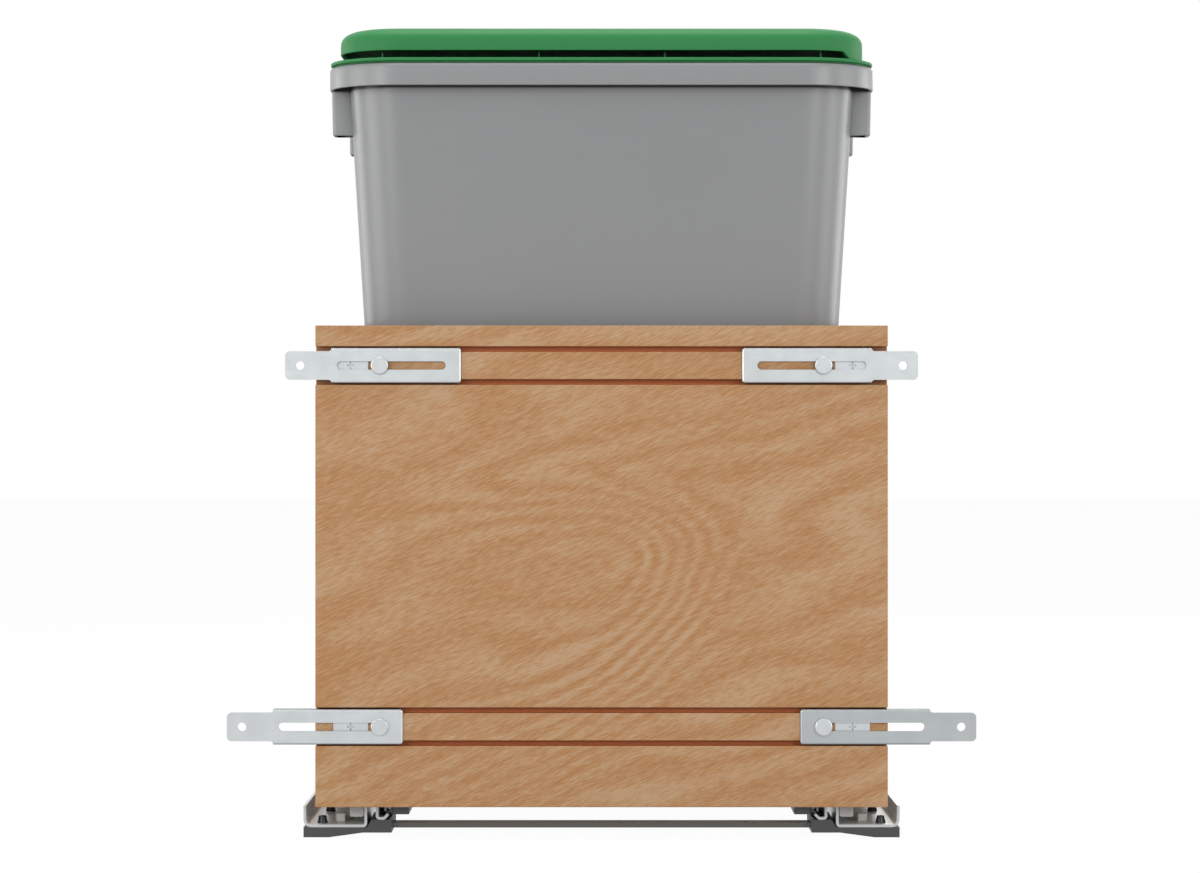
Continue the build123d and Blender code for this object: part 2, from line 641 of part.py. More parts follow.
def crossed_insert_screw(x, row):
    face = Plane(origin=(x, PANEL_Y, row), z_dir=(0, -1, 0))
    return insert_screw(x, row) - cross_recess(face, INSERT_CROSS)


def clamp_screw(x, row):
    """Round-head screw that clamps a bracket to the panel through its slot."""
    head = rod(x, PLATE_FRONT_Y - SEAT, row, CLAMP_HEAD_R, CLAMP_HEAD, (0, -1, 0))
    head = fillet(head.edges().group_by(Axis.Y)[0], CLAMP_HEAD_ROUND)
    length = PANEL_Y + CLAMP_LENGTH - (PLATE_FRONT_Y - SEAT)
    return head + rod(x, PLATE_FRONT_Y - SEAT, row, CLAMP_SHANK_R, length, (0, 1, 0))


def clamp_nut(x, row):
    """Threaded insert let into the panel, which the clamping screw turns in."""
    sink = PANEL_Y + NUT_SINK
    nut = rod(x, sink, row, NUT_R, NUT_LENGTH, (0, 1, 0))
    return nut - rod(x, sink, row, CLAMP_SHANK_R + RUNNING, NUT_LENGTH, (0, 1, 0))


def door_bracket(reach, row):
    """Right-hand bracket: slotted plate with edges bent back, and a narrow tab with a hole."""
    tall = BRACKET_HEIGHT / 2
    x0 = reach - BRACKET_LENGTH
    x1 = reach - TAB_LENGTH
    wide = Pos((x0 + x1) / 2, row) * Rectangle(x1 - x0, BRACKET_HEIGHT)
    wide = fillet(wide.vertices().group_by(Axis.X)[0], INNER_CORNER_R)
    tab = Pos((x1 + reach) / 2 - TAB_CORNER_R / 2, row) * Rectangle(
        TAB_LENGTH + TAB_CORNER_R, TAB_HEIGHT)
    tab = fillet(tab.vertices().group_by(Axis.X)[-1], TAB_CORNER_R)
    outline = wide + tab
    shoulders = outline.vertices().filter_by(
        lambda v: abs(v.X - x1) < SEAT and abs(v.Y - row) < tall - SEAT)
    plate = along_y(fillet(shoulders, TAB_SHOULDER_R), PLATE_FRONT_Y, PLATE_BACK_Y)
    for side in (-1, 1):
        z0 = row + side * tall
        z1 = row + side * (tall - BRACKET_SHEET)
        plate += block(
            x0 + INNER_CORNER_R, x1, PLATE_FRONT_Y + BRACKET_SHEET / 2, PANEL_Y + BRACKET_FLANGE,
            z0, z1)
    folds = plate.edges().filter_by(Axis.X).group_by(Axis.Y)[0]
    folds = folds.filter_by(lambda edge: abs(edge.center().Z - row) > tall - BRACKET_SHEET / 2)
    plate = fillet(folds, BRACKET_SHEET * FOLD_SHARE)
    slot = Pos(reach - (SLOT_START + SLOT_END) / 2, row) * SlotOverall(
        SLOT_END - SLOT_START, SLOT_HEIGHT)
    plate -= along_y(slot, PLATE_FRONT_Y, PLATE_BACK_Y)
    return plate - rod(
        reach - TAB_HOLE_INSET, PLATE_FRONT_Y, row, TAB_HOLE_R, BRACKET_SHEET, (0, 1, 0))


def hardware_places():
    """Signs and rows of the four places where a bracket is held."""
    return [(side, row) for row in (ROW_UPPER, ROW_LOWER) for side in (-1, 1)]


# ---- locking clips under the box ----------------------------------------------

def locking_clip():
    """Plastic clip that locks the box to the right box rail, with the lever's pin."""
    x1 = BOX_RAIL_X0 - SLIDING
    x0 = x1 - CLIP_WIDTH
    y0 = RAIL_Y0 + LEVER_SET_BACK
    z0 = BOTTOM_Z - CLIP_HEIGHT
    clip = block(x0, x1, y0, y0 + CLIP_LENGTH, z0, BOTTOM_Z)
    clip += rod(lever_pin_x(), lever_pin_y(), z0, LEVER_PIN_R, LEVER_HEIGHT + SLIDING, (0, 0, -1))
    for x, y in clip_screw_places():
        clip -= clip_screw(x, y)
    return clip


def lever_pin_x():
    return BOX_RAIL_X0 - SLIDING - CLIP_WIDTH / 2


def lever_pin_y():
    return RAIL_Y0 + LEVER_SET_BACK + LEVER_LENGTH - CLIP_WIDTH / 2


def clip_screw_places():
    """Two screws through the right clip into the bottom board, in front of and behind the pin."""
    y0 = RAIL_Y0 + LEVER_SET_BACK
    return [(lever_pin_x(), y0 + set_back) for set_back in CLIP_SCREW_SET_BACKS]


def clip_screw(x, y):
    """Wood screw up through a clip: countersunk under it, with its shank in the board."""
    z0 = BOTTOM_Z - CLIP_HEIGHT
    head = Plane(origin=(x, y, z0)) * Cone(
        SCREW_HEAD_R, SCREW_SHANK_R, CLIP_SCREW_HEAD, align=(Align.CENTER, Align.CENTER, Align.MIN))
    return head + rod(x, y, z0, SCREW_SHANK_R, CLIP_HEIGHT + CLIP_SCREW_BITE, (0, 0, 1))


def clip_screw_holes():
    """What the clip screws take away from the bottom board."""
    holes = Part()
    for x, y in clip_screw_places():
        holes += clip_screw(x, y) + clip_screw(-x, y)
    return holes


def release_lever():
    """Squeeze lever under the right clip, with a bore for the clip's pin."""
    x0 = BOX_RAIL_X0 - SLIDING - CLIP_WIDTH + SIDE_PLAY
    x1 = BOX_RAIL_X0 - SLIDING - SIDE_PLAY
    y0 = RAIL_Y0 + LEVER_SET_BACK
    z1 = BOTTOM_Z - CLIP_HEIGHT - SLIDING
    lever = block(x0, x1, y0, y0 + LEVER_LENGTH, z1 - LEVER_HEIGHT, z1)
    lever = fillet(lever.edges().filter_by(Axis.Z), LEVER_CORNER_R)
    bore = rod(
        lever_pin_x(), lever_pin_y(), z1, LEVER_PIN_R + RUNNING, LEVER_HEIGHT, (0, 0, -1))
    return lever - bore


# ---- bins and lid -------------------------------------------------------------

def bin_section(z, inset):
    """Outline of a bin's body at a height above its underside, moved in by a wall."""
    narrow = BIN_TAPER * (BIN_HEIGHT - z) + inset
    corner = BIN_BODY_CORNER - BIN_CORNER_TAPER * (BIN_HEIGHT - z) - inset
    width = BIN_BODY_WIDTH - 2 * narrow
    depth = BIN_BODY_DEPTH - 2 * narrow
    return Plane.XY.offset(BOX_FLOOR + z) * RectangleRounded(width, depth, corner)


def bin_wall_x(z):
    """Outer face of a bin's side wall at a height above its underside."""
    return BIN_BODY_WIDTH / 2 - BIN_TAPER * (BIN_HEIGHT - z)


def rim_outline(inset):
    """Outline of the rim, moved in by an amount."""
    return RectangleRounded(
        BIN_WIDTH - 2 * inset, BIN_DEPTH - 2 * inset, BIN_CORNER - inset)


def lug():
    """Hollow lug under the right end of a rim, open below; a hand lifts between two of them."""
    half = LUG_LENGTH / 2
    x1 = BIN_WIDTH / 2 - LUG_INSET
    under = BIN_HEIGHT - RIM_HEIGHT - LUG_DROP
    top = BIN_HEIGHT - BIN_WALL
    outer = block(bin_wall_x(under) - BIN_WALL / 2, x1, -half, half, under, top)
    pocket = block(0, x1 - BIN_WALL, BIN_WALL - half, half - BIN_WALL, under, top)
    return outer - pocket


def bin_at(y):
    """Tapered bin with a turned-over rim and four lugs, standing on the box's bottom."""
    body = loft([bin_section(0, 0), bin_section(BIN_HEIGHT, 0)], ruled=True)
    body += Pos(0, 0, BOX_FLOOR) * along_z(
        rim_outline(0), BIN_HEIGHT - BIN_WALL, BIN_HEIGHT)
    skirt = rim_outline(0) - rim_outline(BIN_WALL)
    body += Pos(0, 0, BOX_FLOOR) * along_z(skirt, BIN_HEIGHT - RIM_HEIGHT, BIN_HEIGHT)
    for offset in (-LUG_OFFSET, LUG_OFFSET):
        body += Pos(0, offset, BOX_FLOOR) * lug()
        body += Pos(0, offset, BOX_FLOOR) * on_left(lug())
    inside = loft([bin_section(BIN_WALL, BIN_WALL), bin_section(BIN_HEIGHT, BIN_WALL)], ruled=True)
    return Pos(0, y, 0) * (body - inside)


def lid_ring():
    """Flat green ring on the front bin's rim, with a collar and hinge ears under the cap."""
    opening = rim_outline(RING_OPENING_INSET)
    flange = along_z(rim_outline(RING_EDGE) - opening, RING_Z0, RING_Z1)
    rib = rim_outline(RING_RIB_INSET) - rim_outline(RING_RIB_INSET + CAP_WALL)
    ring = flange + along_z(rib, RING_Z0 - RING_RIB, RING_Z0)
    skirt_inset = RIM_OVERHANG + BIN_WALL + RING_SKIRT_GAP
    skirt = rim_outline(skirt_inset) - rim_outline(skirt_inset + CAP_WALL)
    ring += along_z(skirt, BIN_TOP - RING_SKIRT_DROP, RING_Z0)
    collar = rim_outline(RING_COLLAR_INSET) - rim_outline(RING_COLLAR_INSET + CAP_WALL)
    ring += along_z(collar, RING_Z1, RING_Z1 + RING_COLLAR_HEIGHT)
    y0 = BIN_DEPTH / 2 - RING_COLLAR_INSET - CAP_WALL / 2
    y1 = BIN_DEPTH / 2 - CAP_INSET - CAP_WALL
    for x in [share * BIN_WIDTH for share in RING_STOP_SHARES]:
        for side in (-1, 1):
            ring += block(
                x - RING_STOP / 2, x + RING_STOP / 2, side * y0, side * y1,
                RING_Z1, CAP_Z0 - SLIDING)
    for side in (-1, 1):
        ring += hinge_ear(side)
    return Pos(0, FRONT_BIN_Y, 0) * ring


def hinge_ear(side):
    """Upright ear at the right end of the ring, with the bore that a hinge pin turns in."""
    y0 = side * HINGE_Y - HINGE_EAR / 2
    eye = rod(HINGE_X, y0, HINGE_Z, HINGE_KNUCKLE_R, HINGE_EAR, (0, 1, 0))
    foot_block = block(
        HINGE_X - HINGE_KNUCKLE_R, HINGE_X + HINGE_KNUCKLE_R, y0, y0 + HINGE_EAR,
        RING_Z1, HINGE_Z)
    bore = rod(HINGE_X, y0, HINGE_Z, HINGE_PIN_R + RUNNING, HINGE_EAR, (0, 1, 0))
    return eye + foot_block - bore


def hinge_pin(side):
    """Steel pin through one ear and the cap's two knuckles beside it."""
    half = HINGE_EAR / 2 + SIDE_PLAY + HINGE_KNUCKLE
    y = FRONT_BIN_Y + side * HINGE_Y - half
    return rod(HINGE_X, y, HINGE_Z, HINGE_PIN_R, 2 * half, (0, 1, 0))


def cap_outline(inset):
    return rim_outline(CAP_INSET + inset)


def crowned(inset):
    """The cap's outer form, or its inner one when moved in by the wall."""
    height = CAP_HEIGHT - inset
    body = along_z(cap_outline(inset), CAP_Z0, CAP_Z0 + height)
    return fillet(body.edges().group_by(Axis.Z)[-1], CAP_CROWN_R - inset)


def lid_cap():
    """Domed green cap, open below, whose skirt reaches down to the ring at the hinge end."""
    cap = crowned(0) - crowned(CAP_WALL)
    wall = cap_outline(0) - cap_outline(CAP_WALL)
    skirt = along_z(wall, RING_Z1 + CAP_SKIRT_GAP, CAP_Z0)
    reach = BIN_DEPTH / 2
    end = block(CAP_X - CAP_SKIRT_LENGTH, CAP_X, -reach, reach, RING_Z1, CAP_Z0)
    cap += skirt & end
    for side in (-1, 1):
        for end_side in (-1, 1):
            middle = side * HINGE_Y + end_side * (HINGE_EAR + HINGE_KNUCKLE + 2 * SIDE_PLAY) / 2
            y0 = middle - HINGE_KNUCKLE / 2
            cap += rod(HINGE_X, y0, HINGE_Z, HINGE_KNUCKLE_R, HINGE_KNUCKLE, (0, 1, 0))
    for side in (-1, 1):
        half = HINGE_EAR / 2 + SIDE_PLAY
        y = side * HINGE_Y
        cap -= block(
            HINGE_X - HINGE_KNUCKLE_R - SIDE_PLAY, CAP_X, y - half, y + half,
            RING_Z1, HINGE_Z + HINGE_KNUCKLE_R + SIDE_PLAY)
        cap -= rod(HINGE_X, y - reach / 2, HINGE_Z, HINGE_PIN_R, reach, (0, 1, 0))
    return Pos(0, FRONT_BIN_Y, 0) * cap


# ---- every node ---------------------------------------------------------------

save_pair("cabinet_rail", cabinet_rail())
save_pair("rail_bumper", rail_bumper())
save_pair("soft_close_striker", soft_close_striker())
save_pair("middle_rail", middle_rail())
save_pair("middle_end_cap", middle_end_cap())
save_pair("box_rail", box_rail())
save_pair("soft_close_housing", soft_close_housing())
save_pair("locking_clip", locking_clip())
save_pair("release_lever", release_lever())
save_pair("side_panel", side_panel())

save_pair("front_foot", foot())
save_pair("rear_foot", at_rear(foot()))
save("front_tie_bar", tie_bar())
save("rear_tie_bar", at_rear(tie_bar()))
save("foot_screws", *[
    foot_screw(side * SCREW_X, y) for side in (-1, 1) for y in foot_screw_places()])

for stage, under in (("lower", HUMP_TOP), ("upper", MIDDLE_TOP)):
    save_pair(f"{stage}_roller_cage", roller_cage(under))
    save(f"right_{stage}_rollers", *cage_rollers(under))
    save(f"left_{stage}_rollers", *[on_left(roller) for roller in cage_rollers(under)])

save("front_panel", front_panel())
save("back_panel", back_panel())
save("bottom_panel", bottom_panel() - clip_screw_holes())
save("bin_divider", bin_divider())
save("clip_screws", *[
    clip_screw(side * x, y) for side in (-1, 1) for x, y in clip_screw_places()])

save("bracket_insert_plates", *[
    insert_plate(side * INSERT_X, row) for side, row in hardware_places()])
save("insert_plate_screws", *[
    crossed_insert_screw(side * INSERT_X, row) for side, row in hardware_places()])
save("bracket_clamp_screws", *[
    clamp_screw(side * CLAMP_X, row) for side, row in hardware_places()])
save("clamp_insert_nuts", *[
    clamp_nut(side * CLAMP_X, row) for side, row in hardware_places()])

for name, overhang, row in (
    ("upper", BRACKET_OVERHANG_UPPER, ROW_UPPER),
    ("lower", BRACKET_OVERHANG_LOWER, ROW_LOWER),
):
    bracket = door_bracket(HALF_BOX + overhang, row)
    save(f"{name}_right_door_bracket", bracket)
    save(f"{name}_left_door_bracket", on_left(bracket))

save("front_bin", bin_at(FRONT_BIN_Y))
save("rear_bin", bin_at(REAR_BIN_Y))
save("lid_ring", lid_ring())
save("lid_cap", lid_cap())
save("lid_hinge_pins", hinge_pin(-1), hinge_pin(1))
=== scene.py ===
import math

import bmesh
import bpy
from mathutils import Matrix, Vector


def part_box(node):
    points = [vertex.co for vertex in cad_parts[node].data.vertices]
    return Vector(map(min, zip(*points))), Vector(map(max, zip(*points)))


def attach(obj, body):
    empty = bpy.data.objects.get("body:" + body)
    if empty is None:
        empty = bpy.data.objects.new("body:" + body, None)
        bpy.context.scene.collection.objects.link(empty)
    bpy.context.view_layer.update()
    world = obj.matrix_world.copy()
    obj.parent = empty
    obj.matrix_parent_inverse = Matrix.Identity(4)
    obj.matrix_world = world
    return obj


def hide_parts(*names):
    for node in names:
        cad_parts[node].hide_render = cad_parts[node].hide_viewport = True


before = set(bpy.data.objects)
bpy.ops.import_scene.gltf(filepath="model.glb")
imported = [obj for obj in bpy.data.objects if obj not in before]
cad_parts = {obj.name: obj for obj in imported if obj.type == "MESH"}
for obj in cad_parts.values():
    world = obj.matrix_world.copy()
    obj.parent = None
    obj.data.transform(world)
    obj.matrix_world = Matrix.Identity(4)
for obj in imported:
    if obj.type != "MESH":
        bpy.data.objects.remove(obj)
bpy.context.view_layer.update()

# ---- camera and studio ----------------------------------------------------------
# The camera stands 2.25 m in front of the panel at half the unit's height and looks
# straight at it. The floor and the backdrop are plain white; three soft boxes in front
# of the unit, one above it, one at each side and three behind light it.

CAMERA_AWAY = 2.25
CAMERA_ASIDE = -0.0010
CAMERA_HEIGHT = 0.2567
SENSOR_WIDTH = 36.0        # mm
LENS = 106.2               # mm
UNIT_MIDDLE = (0, 0, 0.25)
BIN_MIDDLE = (0, 0, 0.3)
FLOOR_HALF = 12.0
FLOOR_WHITE = 1.03         # what the floor shows where it is looked at
FLOOR_SHARE = 0.94         # how much of it; the rest takes the unit's shadow
SWEEP_WHITE = 1.0          # what the backdrop shows
ROOM_LIGHT = 0.31          # what it gives as light
PANEL_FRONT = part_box("front_panel")[0][1]

camera = bpy.data.objects.new("front_camera", bpy.data.cameras.new("front_camera"))
camera.location = (CAMERA_ASIDE, PANEL_FRONT - CAMERA_AWAY, CAMERA_HEIGHT)
camera.rotation_euler = (math.radians(90), 0, 0)
camera.data.sensor_width = SENSOR_WIDTH
camera.data.lens = LENS
bpy.context.scene.collection.objects.link(camera)
bpy.context.scene.camera = camera
bpy.context.scene.view_settings.view_transform = "Standard"


def soft_box(name, size, watts, place, target):
    """A square lamp of a size in metres, at a place and turned to a target."""
    lamp = bpy.data.objects.new(name, bpy.data.lights.new(name, "AREA"))
    lamp.data.size = size
    lamp.data.energy = watts
    lamp.location = place
    lamp.rotation_euler = (Vector(target) - Vector(place)).to_track_quat("-Z", "Y").to_euler()
    bpy.context.scene.collection.objects.link(lamp)


soft_box("key_soft_box", 1.5, 4, (-0.4, -2.7, 2.0), UNIT_MIDDLE)
soft_box("top_soft_box", 1.4, 33, (0, -0.1, 2.3), BIN_MIDDLE)
soft_box("left_soft_box", 1.2, 18, (-2.2, -1.0, 0.6), BIN_MIDDLE)
soft_box("right_soft_box", 1.0, 11.5, (2.2, -0.9, 0.6), BIN_MIDDLE)
soft_box("back_soft_box", 1.2, 9, (0.5, 2.4, 1.2), UNIT_MIDDLE)
soft_box("back_left_soft_box", 1.0, 9, (-2.1, 0.8, 0.5), BIN_MIDDLE)
soft_box("back_right_soft_box", 1.0, 11.5, (2.1, 0.8, 0.5), BIN_MIDDLE)
soft_box("front_left_soft_box", 0.9, 18, (-1.5, -2.5, 0.85), UNIT_MIDDLE)
soft_box("front_right_soft_box", 0.9, 18, (1.5, -2.5, 0.85), UNIT_MIDDLE)


def srgb(code):
    """The linear colour of a six-figure sRGB hex value."""
    parts = [int(code[i:i + 2], 16) / 255 for i in (0, 2, 4)]
    return [p / 12.92 if p <= 0.04045 else ((p + 0.055) / 1.055) ** 2.4 for p in parts] + [1]


def add(material, kind, inputs=None, **settings):
    """Adds one node with its settings. An input goes by its name, or by its number where
    names repeat, and takes a value or the socket that feeds it."""
    node = material.node_tree.nodes.new(kind)
    for key, value in settings.items():
        setattr(node, key, value)
    for key, value in (inputs or {}).items():
        if isinstance(value, bpy.types.NodeSocket):
            material.node_tree.links.new(value, node.inputs[key])
        else:
            node.inputs[key].default_value = value
    return node


def new_material(name):
    """An empty node material."""
    material = bpy.data.materials.new(name)
    material.use_nodes = True
    material.node_tree.nodes.clear()
    return material


def finish_material(material, shader):
    """Joins a shader to the material's output."""
    add(material, "ShaderNodeOutputMaterial", {"Surface": shader.outputs[0]})
    return material


def seen_directly(tree_owner):
    """1 for rays from the camera and those that a glossy or clear surface passes on."""
    path = add(tree_owner, "ShaderNodeLightPath")
    glossy = add(tree_owner, "ShaderNodeMath", {
        0: path.outputs["Is Camera Ray"], 1: path.outputs["Is Glossy Ray"]}, operation="MAXIMUM")
    return add(tree_owner, "ShaderNodeMath", {
        0: glossy.outputs[0], 1: path.outputs["Is Transmission Ray"]}, operation="MAXIMUM")


# White painted studio floor: matt, with a share of plain white where it is looked at,
# so that it reads as a white sweep and still takes the unit's soft shadow.
studio_white = new_material("matt_white_studio_floor")
matt = add(studio_white, "ShaderNodeBsdfDiffuse", {"Color": srgb("C4C4C4")})
glow = add(studio_white, "ShaderNodeEmission", {"Color": (1, 1, 1, 1), "Strength": FLOOR_WHITE})
share = add(studio_white, "ShaderNodeMath", {
    0: seen_directly(studio_white).outputs[0], 1: FLOOR_SHARE}, operation="MULTIPLY")
finish_material(studio_white, add(studio_white, "ShaderNodeMixShader", {
    0: share.outputs[0], 1: matt.outputs[0], 2: glow.outputs[0]}))

floor_mesh = bmesh.new()
bmesh.ops.create_grid(floor_mesh, x_segments=1, y_segments=1, size=FLOOR_HALF)
floor = bpy.data.objects.new("studio_floor", bpy.data.meshes.new("studio_floor"))
floor_mesh.to_mesh(floor.data)
floor.data.materials.append(studio_white)
bpy.context.scene.collection.objects.link(floor)

world = bpy.data.worlds.new("studio_room")
world.use_nodes = True
world.node_tree.nodes.clear()
bpy.context.scene.world = world
room = add(world, "ShaderNodeBackground", {"Color": (1, 1, 1, 1), "Strength": ROOM_LIGHT})
sweep = add(world, "ShaderNodeBackground", {"Color": (1, 1, 1, 1), "Strength": SWEEP_WHITE})
mixed = add(world, "ShaderNodeMixShader", {
    0: seen_directly(world).outputs[0], 1: room.outputs[0], 2: sweep.outputs[0]})
add(world, "ShaderNodeOutputWorld", {"Surface": mixed.outputs[0]})


# ---- wooden box -----------------------------------------------------------------
# Dovetailed box of 16 mm light hardwood boards, sanded and clear lacquered. The front
# panel has two pairs of saw grooves for the door brackets. Its edges are eased by hand.

BOARD_EASE = 0.0006
SEAM = 0.000002            # corners of a CAD mesh closer than this are one
FLAT_WITHIN = math.radians(0.5)
SHARP_FROM = math.radians(32)
ROUNDED_FROM = math.radians(35)
SAWN_FROM = 0.0005         # bare saw cuts lie between these depths below the panel's face
SAWN_TO = 0.009
SAWN_ENDS = 0.0005         # this far in from its ends
SAWN_EDGES = 0.001         # and from its long edges

RIBBON_PITCH = 0.030       # light and dark ribbon together
RIBBON_TILT = math.radians(-13)
RIBBON_DRAWN = (2.0, 2.0, 1.0)     # how far the figure is drawn out along the grain
DRIFT_SIZE = 0.125         # length of the waves in the ribbons
DRIFT_TURNS = 6.5          # ribbons that a full wave moves them by
HEART_REACH = (0.17, 100.0, 0.09)  # how far the arcs go along, through and across the board
HEART_TILT = math.radians(-24)
HEART_PULL = (0.86, 0, 0.16)       # sets the heart off centre, so that the arcs open to one end
HEART_TURNS = 6.5          # arcs round the heart
PATCH_SIZE = 0.0714        # a stretch of clearer or fainter figure
FIGURE_FAINT = 0.06
FIGURE_CLEAR = 0.25
PORE_TILT = math.radians(-24)
PORE_DRAWN = (8.0, 3.0, 1.0)       # length and depth of a pore line in its own widths
FLECK_WIDTH = 0.00042      # a pore line, drawn a little coarser than real
STREAK_WIDTH = FLECK_WIDTH / 0.22  # a band of closer pores
PATCH_SHARE = 0.38         # what each of the three adds to the tone
STREAK_SHARE = 0.30
FLECK_SHARE = 1.75
TONE_SHIFT = 0.5 - (PATCH_SHARE + STREAK_SHARE + FLECK_SHARE) / 2
WOOD_LIGHT = "B69472"
WOOD_MEAN = "AD845C"
WOOD_DARK = "A47549"
WOOD_END = "A0704A"
# bare wood in the saw cuts, painted darker and warmer for the shade inside the grooves
WOOD_CUT_AND_SHADE = "B26538"


def eased_copy(node, piece_name, ease, material, body):
    """Makes a copy of a CAD node with its seams closed and its sharp edges rounded."""
    shape = bmesh.new()
    shape.from_mesh(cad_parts[node].data)
    bmesh.ops.remove_doubles(shape, verts=shape.verts, dist=SEAM)
    bmesh.ops.dissolve_limit(
        shape, angle_limit=FLAT_WITHIN, verts=shape.verts, edges=shape.edges,
        use_dissolve_boundaries=False, delimit=set())
    piece(shape, piece_name, material, body, node, ease)


def finish_as(material, *nodes):
    """Gives CAD nodes that stay as they are their real finish."""
    for node in nodes:
        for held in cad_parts[node].material_slots:
            held.material = material


def piece(shape, name, material, body, nodes, ease=0.0):
    """Makes a mesh an object that rides on a body and stands for its CAD nodes."""
    mesh = bpy.data.meshes.new(name)
    shape.to_mesh(mesh)
    shape.free()
    mesh.shade_smooth()
    mesh.set_sharp_from_angle(angle=SHARP_FROM)
    mesh.materials.clear()
    mesh.materials.append(material)
    made = bpy.data.objects.new(name, mesh)
    bpy.context.scene.collection.objects.link(made)
    if ease:
        round_edges = made.modifiers.new("rounded_edges", "BEVEL")
        round_edges.width = ease
        round_edges.segments = 2
        round_edges.limit_method = "ANGLE"
        round_edges.angle_limit = ROUNDED_FROM
        round_edges.use_clamp_overlap = False
        round_edges.harden_normals = True
    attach(made, body)
    if nodes:
        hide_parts(nodes)
    return made


